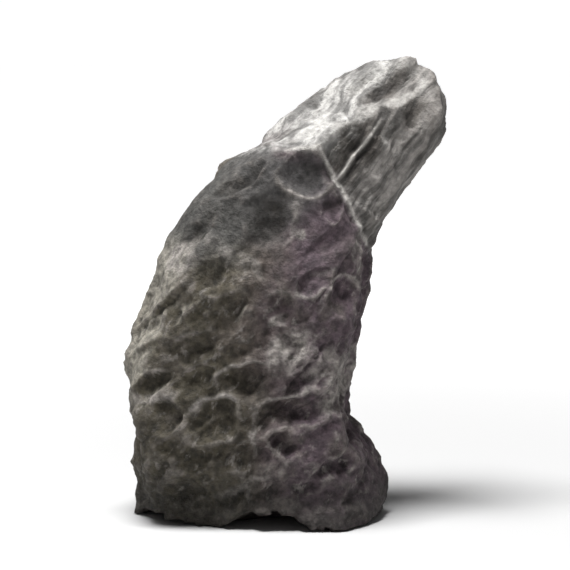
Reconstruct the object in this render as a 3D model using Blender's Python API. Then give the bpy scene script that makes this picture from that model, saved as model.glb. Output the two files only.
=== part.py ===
"""A single seiryu stone: a dark, scalloped limestone peak that leans to the right.

The stone is one solid. Its form is a union of a few slabs and lumps, each the space
inside a handful of broken faces. A UV sphere is cast outward from a bent spine onto
that form, then hollows, layers and roughness are carved into it. The underside is level
where the stone rests and worn hollow between.

Frame: +Z up, X to the right and -Y towards the viewer, origin on the resting face.
"""

import math

import bmesh
import bpy
import numpy as np

# Driving dimension, in metres. Every place and depth below is written in millimetres
# for a stone drawn 178 mm tall, and is scaled with it.
STONE_HEIGHT = 0.178
DRAWN_HEIGHT = 178.0
UNIT = STONE_HEIGHT / DRAWN_HEIGHT

# How far edges are worn round, and how far the broken faces wander from flat
WORN_EDGE = 1.6
FILLET = 2.0
WANDERS = ((48.0, 2.6), (19.0, 1.5))

# Hollows strewn over the stone, broad ones and then small ones: how many, their least and
# greatest reach, and their depth as a share of it
STREWN = ((46, 12.0, 24.0, 0.26), (560, 4.0, 12.0, 0.38))
# How strongly they gather low on the stone, how much longer than wide the longest is, the
# way that their rows run on the body, and how far each strays from it
LOW_BIAS = 1.25
HOLLOW_STRETCH = 1.7
ROW_RUN = (0.90, -0.05, 0.42)
ROW_JITTER = 0.45
# The mean of their depths and the spread about it. Within so many of their own reaches of a
# hand-placed hollow they fade, and beside it only the least share of their depth is left.
DEPTH_MEAN = 0.65
DEPTH_SPREAD = 0.35
CLEAR_OF_PLACED = (0.6, 1.4)
LEAST_BESIDE_PLACED = 0.25
# How full a hollow's bowl is, and the length and size of the wander of its rim
FULLNESS = 0.85
RIM_WANDER = ((7.0, 2.0, 30), (2.8, 0.5, 40))

# Layers: the way they face and run, their pitch, and how far each steps out
LAYER_NORMAL = (-0.77, -0.10, 0.63)
LAYER_RUN = (0.60, -0.05, 0.80)
LAYER_PITCH = 11.0
LAYER_STEP = 2.1
# Wavelength and size of the layers' drift, and wavelength of the patches that show them
LAYER_DRIFTS = ((31.0, 5.0), (8.0, 1.2))
LAYER_PATCH = 23.0
# How strongly layers show everywhere, how much more on the finger and in patches
LAYER_SHARES = (0.1, 0.3, 0.6)

# How much longer small hollows are on the finger, and the shares of the depth of small and
# of broad ones that are missing there
FINGER_STRETCH = 1.2
FINGER_LESS_SMALL = 0.35
FINGER_LESS_BROAD = 0.7

# The smooth dark area: wavelength and size of its border's wander, the border's fall to the
# right, the heights between which it sets in, and the depths between which it ends
CALM_WANDER = (14.0, 8.0)
CALM_FALL = 0.2
CALM_HEIGHTS = (88.0, 108.0)
CALM_DEPTHS = (2.0, -8.0)
# How much of the strewn hollows, and of layers and roughness, is missing in it
CALM_LESS_HOLLOWS = 0.7
CALM_LESS_ROUGH = 0.65

# Smaller roughness: wavelength and height of each size, the height of its crests, and how
# steeply it falls away from them
ROUGHNESS = ((10.0, 0.8), (5.5, 0.5))
CREST_HEIGHT = 0.45
CREST_FALL = 1.6

# Shallow hollows of the underside: wavelength, height, the grid that draws them, the finer
# noise on them, and how high the noise may be before the underside leaves the floor
UNDERSIDE_LENGTH = 27.0
UNDERSIDE_HEIGHT = 9.0
UNDERSIDE_CELLS = 30
UNDERSIDE_FINE_LENGTH = 9.0
UNDERSIDE_FINE_SHARE = 0.25
UNDERSIDE_LEVEL = 0.12

# Rows of the turn that keeps the noise's lattice off the stone's own axes
LATTICE_TURN = ((0.36, 0.48, -0.80), (-0.80, 0.60, 0.00), (0.48, 0.64, 0.60))

# Mesh of the cast sphere, and the share of its triangles that the solid keeps
COLUMNS = 150
ROWS = 104
KEPT_TRIANGLES = 0.285

# The spine that the surface is cast from, as three Bezier points, and how strongly
# the cast rays keep level before they turn down at the base and up at the tip
SPINE = ((-7.0, 0.0, 3.0), (-10.0, 2.0, 106.0), (46.0, 2.0, 153.0))
LEVEL_AT_BASE = 12.0
LEVEL_AT_TIP = 2.4
FURTHEST = 110.0
MARCH_STEPS = 44
HALVINGS = 12

# How far off the outward direction is probed, and the least share of a ray that counts as
# outward, so that a hollow on a grazing face isn't cut too deep
PROBE = 0.6
LEAST_FACING = 0.45

# Where the hand-placed hollows' middles start in front of the stone, and the steps and
# share of the distance in which they come to its face
HOLLOWS_START = -80.0
DROP_STEPS = 60
DROP_SHARE = 0.9
# How many of the surface's points are held against all hollows at a time
POINTS_AT_ONCE = 4000

# The front slab's upper edge, which the banded finger rises behind: a point and the outward
# direction of its sloping stretch, the height of its level one, and how far past them the
# finger's surface sets in
EDGE_POINT = (28, -16, 126)
EDGE_DIRECTION = (0.86, 0.0, 0.50)
LEDGE_HEIGHT = 143.5
PAST_EDGE = (-2.0, 3.0)

# Broken faces, each a point on the face and its outward direction
FRONT_SLAB = {
    "upper face": ((0, -28, 118), (-0.02, -0.965, 0.26)),
    "lower face": ((-6, -38, 66), (-0.04, -0.995, 0.03)),
    "left face": ((-33, -33, 80), (-0.46, -0.87, 0.16)),
    "right face": ((25, -33, 82), (0.50, -0.86, 0.05)),
    "under face": ((-10, -38, 19), (-0.10, -0.80, -0.60)),
    "left flank": ((-52, -19, 72), (-0.80, -0.42, 0.42)),
    "left side": ((-57, 0, 46), (-0.99, -0.08, -0.10)),
    "left brow": ((-52.5, -5, 79), (-0.93, -0.05, 0.36)),
    "left shoulder": ((-29, -10, 119.5), (-0.80, -0.05, 0.60)),
    "left crown": ((-10, -10, 139.5), (-0.38, -0.10, 0.92)),
    "ledge": ((8, -16, 144.5), (0.04, -0.12, 0.99)),
    "ledge slope": ((28, -16, 127), (0.86, -0.10, 0.50)),
    "right side": ((35, -5, 80), (0.985, -0.05, -0.13)),
    "hidden left": ((-47, 4, 90), (-0.50, 0.86, 0.08)),
    "hidden back": ((0, 9, 110), (0, 0.97, 0.25)),
    "underside": ((0, 0, -1.5), (0.03, -0.05, -1)),
}
REAR_SLAB = {
    "shoulder": ((-26, 0, 116), (-0.78, 0.05, 0.62)),
    "crest": ((1, 0, 142.5), (-0.62, 0.0, 0.78)),
    "top": ((20, 8, 146), (0.25, 0.15, 0.95)),
    "right side": ((35, 6, 80), (0.97, 0.18, -0.13)),
    "back face": ((0, 33, 80), (-0.05, 0.985, 0.16)),
    "back left": ((-42, 16, 80), (-0.72, 0.62, 0.31)),
    "back right": ((32, 24, 70), (0.66, 0.74, 0.1)),
    "left side": ((-52, 2, 50), (-0.97, 0.24, -0.03)),
    "back foot": ((0, 40, 30), (0, 0.99, -0.12)),
    "hidden front": ((0, -12, 90), (0, -1, 0)),
    "underside": ((0, 0, -1.5), (-0.03, 0.06, -1)),
}
REAR_LEAF = {
    "crest": ((0, 0, 148.5), (-0.68, 0.0, 0.73)),
    "crest top": ((38, 0, 177), (-0.34, 0.05, 0.94)),
    "bevel": ((20.5, 1, 163), (-0.52, -0.60, 0.60)),
    "front": ((30, -6, 155), (0.06, -0.995, 0.08)),
    "tip": ((57, 0, 177), (0.66, 0.1, 0.75)),
    "tip right": ((63.5, 0, 160), (0.98, 0.05, 0.17)),
    "under": ((60, 0, 143), (0.86, 0.1, -0.5)),
    "throat": ((46, 0, 121), (0.78, 0.1, -0.62)),
    "back": ((40, 19, 150), (0.05, 0.97, 0.22)),
    "root": ((-1, 0, 138), (-0.90, 0, -0.43)),
    "root back": ((0, 13, 142), (-0.60, 0.75, 0.20)),
}
FRONT_LEAF = {
    "crest": ((60, -8, 174.5), (-0.40, -0.1, 0.91)),
    "bevel": ((29, -10, 155), (-0.30, -0.62, 0.72)),
    "front": ((42, -15.5, 148), (0.05, -0.995, 0.08)),
    "tip": ((63, -5, 171), (0.80, -0.1, 0.58)),
    "tip right": ((65, 0, 158), (0.99, 0.02, 0.10)),
    "tip under": ((64.0, 0, 146.6), (0.90, 0.0, -0.43)),
    "throat": ((51, 0, 121), (0.79, 0.0, -0.61)),
    "back": ((40, 10, 150), (0.1, 0.97, 0.15)),
    "root": ((13, 0, 138), (-0.86, 0, -0.50)),
}
BASE = {
    "front": ((-10, -29, 12), (-0.06, -0.97, 0.22)),
    "front left": ((-48, -18, 12), (-0.80, -0.58, 0.20)),
    "left": ((-53, 0, 12), (-0.99, 0.0, 0.10)),
    "back left": ((-44, 26, 12), (-0.72, 0.68, 0.15)),
    "front right": ((34, -16, 12), (0.72, -0.66, 0.22)),
    "right": ((38, 4, 12), (0.97, 0.10, 0.20)),
    "top": ((0, 0, 34), (0, 0, 1)),
    "back": ((0, 36, 12), (0.10, 0.97, 0.22)),
    "back right": ((27, 26, 12), (0.70, 0.70, 0.12)),
    "underside": ((0, 0, -1.5), (0, 0, -1)),
}
TOE = {
    "slope": ((29.5, -10, 37), (0.79, -0.12, 0.60)),
    "front": ((26, -33, 20), (0.16, -0.95, 0.26)),
    "end": ((44.5, -5, 10), (0.97, -0.1, -0.2)),
    "end front": ((41, -22, 10), (0.72, -0.69, 0.05)),
    "back": ((30, 14, 20), (0.15, 0.98, 0.1)),
    "end back": ((39, 6, 12), (0.80, 0.60, -0.05)),
    "left": ((-38, 0, 8), (-0.99, 0.0, 0.15)),
    "front left": ((-28, -26, 8), (-0.62, -0.77, 0.15)),
    "inner": ((-34, 0, 14), (-0.40, -0.12, 0.90)),
    "underside": ((0, 0, -1.5), (-0.05, 0.0, -1)),
}
HEEL = {
    "back": ((-15, 41, 20), (-0.15, 0.97, 0.18)),
    "back left": ((-40, 30, 20), (-0.75, 0.62, 0.22)),
    "left": ((-50, 10, 20), (-0.98, 0.05, 0.15)),
    "top": ((-25, 25, 46), (-0.2, 0.3, 0.93)),
    "right": ((18, 30, 20), (0.8, 0.55, 0.2)),
    "back right": ((4, 38, 14), (0.45, 0.89, 0.05)),
    "front": ((-20, -5, 20), (0, -1, 0)),
    "underside": ((0, 0, -1.5), (0.04, 0.03, -1)),
}
LUMPS = (FRONT_SLAB, REAR_SLAB, REAR_LEAF, FRONT_LEAF, BASE, TOE, HEEL)

# Hollows on the front: the middle's X and Z, half length, half width, the angle that the
# length rises at, and the depth
FRONT_HOLLOWS = (
    (44.5, 166.5, 13.0, 3.8, 38, 2.6),
    (30.5, 143.5, 11.5, 5.0, 55, 2.2),
    (37.5, 142.0, 16.0, 3.6, 57, 1.8),
    (56.0, 158.0, 8.5, 4.6, 62, 1.8),
    (14.0, 133.5, 11.0, 8.5, 10, 5.0),
    (-1.0, 118.0, 12.5, 10.5, 70, 4.4),
    (-17.0, 118.5, 9.5, 8.5, 40, 1.8),
    (24.5, 122.0, 6.0, 3.6, 25, 2.6),
    (20.0, 107.0, 13.0, 9.5, 30, 1.8),
    (-12.0, 132.5, 13.0, 3.6, 32, 3.0),
    (-29.0, 113.0, 10.0, 3.4, 45, 3.0),
    (16.0, 95.0, 8.0, 5.5, 10, 3.2),
    (28.5, 88.0, 8.0, 6.5, 60, 4.0),
    (6.0, 84.0, 9.5, 6.5, -30, 3.8),
    (-7.0, 97.0, 8.0, 5.0, 20, 2.2),
    (-24.0, 97.0, 8.0, 5.5, 55, 3.4),
    (-17.0, 82.0, 10.0, 5.8, 45, 3.8),
    (-36.0, 85.0, 9.0, 5.0, 60, 3.4),
    (-6.0, 71.0, 8.5, 5.0, 25, 3.6),
    (9.0, 70.0, 7.0, 4.8, 30, 3.8),
    (24.0, 70.0, 7.5, 5.0, 40, 3.4),
    (-31.0, 68.5, 10.0, 5.4, 30, 4.0),
    (-9.5, 57.0, 11.0, 6.2, 8, 6.0),
    (13.0, 58.5, 9.5, 4.6, 28, 4.2),
    (-29.0, 57.0, 9.0, 5.0, 22, 4.0),
    (-46.0, 55.0, 9.0, 5.0, 28, 3.8),
    (-22.0, 43.0, 11.5, 8.6, 20, 6.2),
    (7.0, 45.5, 15.0, 6.8, 14, 6.2),
    (-41.0, 42.0, 8.5, 5.6, 25, 4.4),
    (6.0, 33.0, 6.0, 5.0, 5, 4.4),
    (26.0, 47.0, 7.0, 4.2, 50, 2.8),
    (-9.0, 28.5, 9.0, 5.4, 18, 4.4),
    (-30.0, 27.0, 9.5, 5.6, 15, 4.4),
    (24.0, 24.0, 9.0, 5.0, 20, 3.2),
    (-45.0, 22.0, 8.0, 5.0, 15, 3.0),
    (-33.0, 14.0, 10.0, 5.5, 22, 3.8),
    (-3.0, 12.5, 11.0, 4.8, 27, 3.8),
    (14.0, 17.0, 8.0, 4.2, 27, 3.2),
    (32.0, 13.0, 7.5, 4.6, 24, 2.8),
)
FRONT_HOLLOW_THROUGH = 15.0


def lattice_values(cells, seed):
    """One repeatable value from -1 to 1 for each whole-number cell."""
    x, y, z = cells[..., 0], cells[..., 1], cells[..., 2]
    mixed = (x * 374761393 + y * 668265263 + z * 2246822519 + seed * 3266489917) & 0xFFFFFFFF
    mixed = ((mixed ^ (mixed >> 15)) * 2246822519) & 0xFFFFFFFF
    mixed = ((mixed ^ (mixed >> 13)) * 3266489917) & 0xFFFFFFFF
    return (mixed ^ (mixed >> 16)) / 0x7FFFFFFF - 1.0


def smooth_noise(points, seed):
    """Value noise from -1 to 1: the eight lattice values round a point, mixed smoothly, on
    a lattice that is turned away from the axes."""
    points = points @ np.array(LATTICE_TURN)
    low = np.floor(points).astype(np.int64)
    share = points - low
    share = share**3 * (share * (share * 6 - 15) + 10)
    total = np.zeros(len(points))
    for corner in np.ndindex(2, 2, 2):
        weight = np.where(corner, share, 1 - share).prod(axis=1)
        total += weight * lattice_values(low + corner, seed)
    return total


def noise_vector(points, seed):
    """Three independent noises, as a vector for each point."""
    return np.stack([smooth_noise(points, seed + axis) for axis in range(3)], axis=1)


def smooth_step(low, high, value):
    """0 below low, 1 above high, and an S curve between."""
    share = np.clip((value - low) / (high - low), 0, 1)
    return share * share * (3 - 2 * share)


def smooth_max(values, soft):
    """The largest of each column of values, with a rounding where two are close."""
    peak = values.max(axis=0)
    return peak + soft * np.log(np.exp((values - peak) / soft).sum(axis=0))


def lump_distance(points, faces):
    """How far outside a lump the points are: the largest distance past any of its faces."""
    places, directions = (np.array(column, float) for column in zip(*faces.values()))
    directions /= np.linalg.norm(directions, axis=1, keepdims=True)
    past = directions @ points.T - (places * directions).sum(axis=1)[:, None]
    return smooth_max(past, WORN_EDGE)


def form_distance(points):
    """How far outside the whole form the points are, with wandering faces."""
    for seed, (length, height) in enumerate(WANDERS):
        points = points + height * noise_vector(points / length, 10 * seed)
    return -smooth_max(np.stack([-lump_distance(points, lump) for lump in LUMPS]), FILLET)


def spine_at(share):
    """Points along the bent spine, from 0 near the base to 1 in the tip."""
    share = share[:, None]
    low, bend, high = (np.array(point) for point in SPINE)
    return (1 - share) ** 2 * low + 2 * share * (1 - share) * bend + share**2 * high


def cast(turns, rises):
    """Where rays leave the form, and the rays: turns go round the spine, rises up it."""
    centres = spine_at(rises)
    upper = np.clip(2 * rises - 1, 0, 1) ** LEVEL_AT_TIP
    lower = np.clip(1 - 2 * rises, 0, 1) ** LEVEL_AT_BASE
    tilts = (upper - lower) * math.pi / 2
    rays = np.stack(
        [np.cos(tilts) * np.cos(turns), np.cos(tilts) * np.sin(turns), np.sin(tilts)], axis=1
    )
    stride = FURTHEST / MARCH_STEPS
    inside = np.zeros(len(rays))
    going = np.ones(len(rays), bool)
    for step in range(1, MARCH_STEPS + 1):
        which = np.flatnonzero(going)
        reach = np.full(len(which), step * stride)
        out = form_distance(centres[which] + rays[which] * reach[:, None]) > 0
        going[which[out]] = False
        inside[which[~out]] = reach[~out]
    outside = inside + stride
    for _ in range(HALVINGS):
        middle = (inside + outside) / 2
        out = form_distance(centres + rays * middle[:, None]) > 0
        outside = np.where(out, middle, outside)
        inside = np.where(out, inside, middle)
    return centres + rays * inside[:, None], rays


def outward(points):
    """The form's outward direction at each point, from distances a little way off."""
    corners = np.array([(1, -1, -1), (-1, -1, 1), (-1, 1, -1), (1, 1, 1)], float)
    slope = sum(corner * form_distance(points + PROBE * corner)[:, None] for corner in corners)
    return slope / np.linalg.norm(slope, axis=1, keepdims=True)


def scatter(count, seed):
    """One repeatable value from -1 to 1 for each of a number of things."""
    return lattice_values(np.stack([np.arange(count)] * 3, axis=1), seed)


def front_hollows():
    """Middle, three axes each divided by its reach, and depth of the hand-placed hollows."""
    x, z, length, width, angle, depth = np.array(FRONT_HOLLOWS).T
    middles = np.stack([x, np.full(len(x), HOLLOWS_START), z], axis=1)
    for _ in range(DROP_STEPS):
        middles[:, 1] += np.maximum(form_distance(middles), 0) * DROP_SHARE
    cosine, sine, none = np.cos(np.radians(angle)), np.sin(np.radians(angle)), np.zeros(len(x))
    axes = np.stack(
        [
            np.stack([cosine, none, sine], axis=1) / length[:, None],
            np.stack([-sine, none, cosine], axis=1) / width[:, None],
            np.stack([none, none + 1, none], axis=1) / FRONT_HOLLOW_THROUGH,
        ],
        axis=1,
    )
    return middles, axes, depth


def strewn_hollows(count, least, greatest, share, seed):
    """Middle, axes divided by reach, and depth of hollows strewn at random: long ones lie
    with the rows on the body and with the layers on the finger."""
    rises = (0.5 + 0.5 * scatter(count, seed + 1)) ** LOW_BIAS
    middles, _ = cast(math.pi * scatter(count, seed), rises)
    reach = least + (greatest - least) * (0.5 + 0.5 * scatter(count, seed + 2)) ** 2
    finger = finger_share(middles)[:, None]
    jitter = np.stack([scatter(count, seed + 3 + axis) for axis in range(3)], axis=1)
    run = finger * LAYER_RUN + (1 - finger) * ROW_RUN + ROW_JITTER * jitter
    run /= np.linalg.norm(run, axis=1, keepdims=True)
    side = np.cross(run, np.array(LAYER_NORMAL))
    side /= np.linalg.norm(side, axis=1, keepdims=True)
    up = np.cross(run, side)
    stretch = 1 + (HOLLOW_STRETCH - 1) * (0.5 + 0.5 * scatter(count, seed + 6))
    stretch *= 1 + FINGER_STRETCH * finger[:, 0]
    axes = np.stack(
        [run / (reach * stretch)[:, None], side / reach[:, None], up / reach[:, None]], axis=1
    )
    depth = share * reach * (DEPTH_MEAN + DEPTH_SPREAD * scatter(count, seed + 7))
    depth *= 1 - CALM_LESS_HOLLOWS * calm_share(middles)
    depth *= 1 - FINGER_LESS_SMALL * finger[:, 0]
    gaps = np.linalg.norm(middles[:, None] - front_hollows()[0][None], axis=2).min(axis=1)
    clear = smooth_step(*CLEAR_OF_PLACED, gaps / reach)
    return middles, axes, depth * (LEAST_BESIDE_PLACED + (1 - LEAST_BESIDE_PLACED) * clear)


def hollow_relief(points, hollows):
    """How deep the hollows are at each point: the deepest of the bowls that hold it."""
    middles, axes, depths = hollows
    wander = (size * noise_vector(points / length, seed) for length, size, seed in RIM_WANDER)
    points = points + sum(wander)
    deepest = np.zeros(len(points))
    offsets = np.einsum("hij,hj->hi", axes, middles)
    for start in range(0, len(points), POINTS_AT_ONCE):
        some = points[start : start + POINTS_AT_ONCE]
        inside = np.ones((len(some), len(middles)))
        for axis in range(3):
            inside -= (some @ axes[:, axis].T - offsets[:, axis]) ** 2
        bowls = np.maximum(inside, 0) ** FULLNESS * depths
        deepest[start : start + POINTS_AT_ONCE] = bowls.max(axis=1)
    return deepest


def finger_share(points):
    """1 on the banded finger above the ledge, 0 on the body below it."""
    above_slope = (points - EDGE_POINT) @ np.array(EDGE_DIRECTION)
    return smooth_step(*PAST_EDGE, np.maximum(above_slope, points[:, 2] - LEDGE_HEIGHT))


def calm_share(points):
    """1 on the smooth dark upper part of the front, 0 elsewhere."""
    length, size = CALM_WANDER
    border = size * smooth_noise(points / length, 90) - CALM_FALL * points[:, 0]
    height = smooth_step(*CALM_HEIGHTS, points[:, 2] + border)
    return height * smooth_step(*CALM_DEPTHS, points[:, 1]) * (1 - finger_share(points))


def layer_relief(points):
    """Layers: each steps out slowly along the stone and then breaks back, here and there."""
    normal = np.array(LAYER_NORMAL) / np.linalg.norm(LAYER_NORMAL)
    drift = np.zeros(len(points))
    for seed, (length, size) in enumerate(LAYER_DRIFTS):
        drift += size * smooth_noise(points / length, 50 + seed)
    phase = (points @ normal + drift) / LAYER_PITCH
    share = phase - np.floor(phase)
    saw = smooth_step(0.0, 0.25, share) * (1 - 0.8 * share) - 0.55
    patch = smooth_step(-0.3, 0.5, smooth_noise(points / LAYER_PATCH, 55))
    everywhere, on_finger, in_patches = LAYER_SHARES
    return LAYER_STEP * saw * (everywhere + on_finger * finger_share(points) + in_patches * patch)


def rough_relief(points):
    """Creased roughness of each size, sharp at its crests."""
    total = np.zeros(len(points))
    for seed, (length, height) in enumerate(ROUGHNESS):
        fall = CREST_FALL * np.abs(smooth_noise(points / length, 60 + seed))
        total += height * (CREST_HEIGHT - fall)
    return total


def stone_points(turns, rises):
    """The stone's surface for each turn and rise, in millimetres, above and below the cut."""
    points, rays = cast(turns, rises)
    calm = 1 - CALM_LESS_ROUGH * calm_share(points)
    broad, small = (strewn_hollows(*sort, 100 + 20 * i) for i, sort in enumerate(STREWN))
    depth = (1 - FINGER_LESS_BROAD * finger_share(points)) * hollow_relief(points, broad)
    depth += np.maximum(hollow_relief(points, front_hollows()), hollow_relief(points, small))
    depth -= calm * (layer_relief(points) + rough_relief(points))
    facing = np.clip((outward(points) * rays).sum(axis=1), LEAST_FACING, 1)
    return points - rays * (depth / facing)[:, None]


def stone_mesh():
    """A UV sphere whose vertices are cast onto the carved form."""
    sphere = bmesh.new()
    bmesh.ops.create_uvsphere(sphere, u_segments=COLUMNS, v_segments=ROWS, radius=1)
    places = np.array([vertex.co[:] for vertex in sphere.verts])
    turns = np.arctan2(places[:, 1], places[:, 0])
    rises = np.arcsin(np.clip(places[:, 2], -1, 1)) / math.pi + 0.5
    for vertex, place in zip(sphere.verts, stone_points(turns, rises) * UNIT):
        vertex.co = place
    bmesh.ops.triangulate(sphere, faces=sphere.faces)
    mesh = bpy.data.meshes.new("stone")
    sphere.to_mesh(mesh)
    sphere.free()
    return mesh


def underside_height(places):
    """Height of the underside over each X and Y: level where it rests, hollow between."""
    flat = np.stack([places[:, 0], places[:, 1], np.zeros(len(places))], axis=1)
    rise = smooth_noise(flat / UNDERSIDE_LENGTH, 95)
    rise += UNDERSIDE_FINE_SHARE * smooth_noise(flat / UNDERSIDE_FINE_LENGTH, 96)
    return UNDERSIDE_HEIGHT * np.maximum(rise - UNDERSIDE_LEVEL, 0)


def floor_cutter():
    """A block below the underside, whose top has the shape that the underside takes."""
    block = bmesh.new()
    bmesh.ops.create_grid(
        block, x_segments=UNDERSIDE_CELLS, y_segments=UNDERSIDE_CELLS, size=0.5 * DRAWN_HEIGHT
    )
    places = np.array([vertex.co[:] for vertex in block.verts])
    for vertex, height in zip(block.verts, underside_height(places)):
        vertex.co.z = height
    skirt = bmesh.ops.extrude_face_region(block, geom=block.faces[:])["geom"]
    lowered = [item for item in skirt if isinstance(item, bmesh.types.BMVert)]
    for vertex in lowered:
        vertex.co.z = -DRAWN_HEIGHT
    bmesh.ops.triangulate(block, faces=block.faces)
    bmesh.ops.recalc_face_normals(block, faces=block.faces)
    bmesh.ops.scale(block, verts=block.verts, vec=(UNIT, UNIT, UNIT))
    mesh = bpy.data.meshes.new("floor_cutter")
    block.to_mesh(mesh)
    block.free()
    cutter = bpy.data.objects.new("floor_cutter", mesh)
    bpy.context.scene.collection.objects.link(cutter)
    cutter.hide_render = True
    cutter.display_type = "WIRE"
    return cutter


def limestone():
    """Dull blue-grey limestone."""
    material = bpy.data.materials.new("limestone")
    material.use_nodes = True
    shader = material.node_tree.nodes["Principled BSDF"]
    shader.inputs["Base Color"].default_value = (0.12, 0.11, 0.105, 1)
    shader.inputs["Roughness"].default_value = 0.85
    shader.inputs["Metallic"].default_value = 0
    return material


def build_stone():
    """The stone as one object: thinned where it is flat, then cut to its underside."""
    mesh = stone_mesh()
    mesh.materials.append(limestone())
    stone = bpy.data.objects.new("stone", mesh)
    bpy.context.scene.collection.objects.link(stone)
    thin = stone.modifiers.new("thin flat areas", "DECIMATE")
    thin.ratio = KEPT_TRIANGLES
    rest = stone.modifiers.new("cut to rest", "BOOLEAN")
    rest.operation = "DIFFERENCE"
    rest.object = floor_cutter()
    return stone


def main():
    """Clears the scene and builds the stone."""
    for old in list(bpy.data.objects):
        bpy.data.objects.remove(old)
    build_stone()


if __name__ == "__main__":
    main()
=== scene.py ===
"""Dresses the seiryu stone: its fine surface, its limestone finish, and a pale studio.

The surface is cast from a bent spine onto the same broken faces as the solid, and is then
carved with the same hollows, layers and roughness, and with finer ones. Lengths inside the
stone's classes are in millimetres, and a mesh gets them in metres.
"""

import logging
import math
from dataclasses import dataclass, field
from enum import Enum, IntEnum

import bpy
import numpy as np
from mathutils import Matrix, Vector
from numpy.typing import NDArray


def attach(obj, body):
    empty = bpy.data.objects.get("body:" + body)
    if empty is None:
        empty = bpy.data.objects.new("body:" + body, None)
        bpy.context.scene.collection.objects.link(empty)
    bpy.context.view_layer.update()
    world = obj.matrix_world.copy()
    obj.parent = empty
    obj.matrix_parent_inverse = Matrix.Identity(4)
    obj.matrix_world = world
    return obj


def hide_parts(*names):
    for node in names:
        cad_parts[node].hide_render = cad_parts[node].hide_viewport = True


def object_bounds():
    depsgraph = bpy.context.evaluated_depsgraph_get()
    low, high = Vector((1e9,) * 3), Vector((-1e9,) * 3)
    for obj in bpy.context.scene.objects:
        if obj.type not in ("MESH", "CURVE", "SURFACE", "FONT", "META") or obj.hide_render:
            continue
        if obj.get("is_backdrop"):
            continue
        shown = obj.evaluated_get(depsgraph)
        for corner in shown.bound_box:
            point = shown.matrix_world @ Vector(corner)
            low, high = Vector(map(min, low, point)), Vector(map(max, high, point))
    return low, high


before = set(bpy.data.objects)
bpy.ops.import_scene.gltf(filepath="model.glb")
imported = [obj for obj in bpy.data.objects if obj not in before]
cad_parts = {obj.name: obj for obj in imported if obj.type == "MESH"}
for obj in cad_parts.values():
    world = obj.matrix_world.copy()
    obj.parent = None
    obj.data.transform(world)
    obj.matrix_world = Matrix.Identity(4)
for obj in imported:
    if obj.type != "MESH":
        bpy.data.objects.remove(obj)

Array = NDArray[np.float64]
Point = tuple[float, float, float]
Face = tuple[Point, Point]
Colour = tuple[float, float, float]
Span = tuple[float, float]
Patch = tuple[float, float, float, float, float, float]

LOG = logging.getLogger("seiryu stone")
METRES = 0.001
WHITE = (1.0, 1.0, 1.0)


class Seed(IntEnum):
    """Which of the repeatable noises is read."""

    WANDER = 0
    HOLLOW_RIM = 30
    RIM_CHIPS = 40
    LAYER_DRIFT = 50
    LAYER_PATCH = 55
    ROUGH = 60
    SCALLOP = 70
    CALM_BORDER = 90
    UNDERSIDE = 95
    UNDERSIDE_FINE = 96
    STREWN_BROAD = 100
    STREWN_SMALL = 120
    STREWN_FINE = 140
    FLANK = 180
    VEIN = 190
    PATCH = 200
    FINGER_TONE = 210
    CALM_TONE = 211


def smooth_step(low: float, high: float, value: Array) -> Array:
    """0 below low, 1 above high, and an S curve between."""
    share = np.clip((value - low) / (high - low), 0, 1)
    return share * share * (3 - 2 * share)


def grown(pair: Span, share: Array) -> Array:
    """The first of a pair, plus the second times a share."""
    return pair[0] + pair[1] * share


def smooth_max(values: Array, soft: float) -> Array:
    """The largest of each column of values, with a rounding where two are close.

    Args:
        values: One row for each thing that is compared.
        soft: How far below the largest another value still rounds it.

    Returns:
        The largest value plus soft times the log of the summed, scaled exponentials.
    """
    peak = values.max(axis=0)
    return peak + soft * np.log(np.exp((values - peak) / soft).sum(axis=0))


@dataclass(frozen=True)
class Lattice:
    """Repeatable value noise, on a lattice turned away from the stone's own axes."""

    turn: tuple[Point, Point, Point] = ((0.36, 0.48, -0.80), (-0.80, 0.60, 0.00), (0.48, 0.64, 0.60))
    factors: tuple[int, int, int, int] = (374761393, 668265263, 2246822519, 3266489917)
    bits: int = 0xFFFFFFFF

    def values(self, cells: NDArray[np.int64], seed: int) -> Array:
        """One value from -1 to 1 for each whole-number cell.

        Args:
            cells: The cells, with three whole numbers on the last axis.
            seed: Which noise is read.

        Returns:
            The bits of the three numbers and the seed, multiplied and folded, as a share.
        """
        by_x, by_y, by_z, by_seed = self.factors
        mixed = cells[..., 0] * by_x + cells[..., 1] * by_y + cells[..., 2] * by_z
        mixed = (mixed + seed * by_seed) & self.bits
        mixed = ((mixed ^ (mixed >> 15)) * by_z) & self.bits
        mixed = ((mixed ^ (mixed >> 13)) * by_seed) & self.bits
        return (mixed ^ (mixed >> 16)) / (self.bits // 2) - 1.0

    def noise(self, points: Array, seed: int) -> Array:
        """Noise from -1 to 1 at each point.

        Args:
            points: Places, in units of the noise's wavelength.
            seed: Which noise is read.

        Returns:
            The eight lattice values round each point, mixed by a smooth share on each axis.
        """
        turned = points @ np.array(self.turn)
        low = np.floor(turned).astype(np.int64)
        share = turned - low
        share = share**3 * (share * (share * 6 - 15) + 10)
        total = np.zeros(len(points))
        for corner in np.ndindex(2, 2, 2):
            weight = np.where(corner, share, 1 - share).prod(axis=1)
            total += weight * self.values(low + corner, seed)
        return total

    def vector(self, points: Array, seed: int) -> Array:
        """Three independent noises, as a vector for each point."""
        return np.stack([self.noise(points, seed + axis) for axis in range(3)], axis=1)

    def scatter(self, count: int, seed: int) -> Array:
        """One value from -1 to 1 for each of a number of things."""
        return self.values(np.stack([np.arange(count)] * 3, axis=1), seed)

    def shares(self, count: int, seed: int) -> Array:
        """One value from 0 to 1 for each of a number of things."""
        return 0.5 + 0.5 * self.scatter(count, seed)


LATTICE = Lattice()


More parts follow.
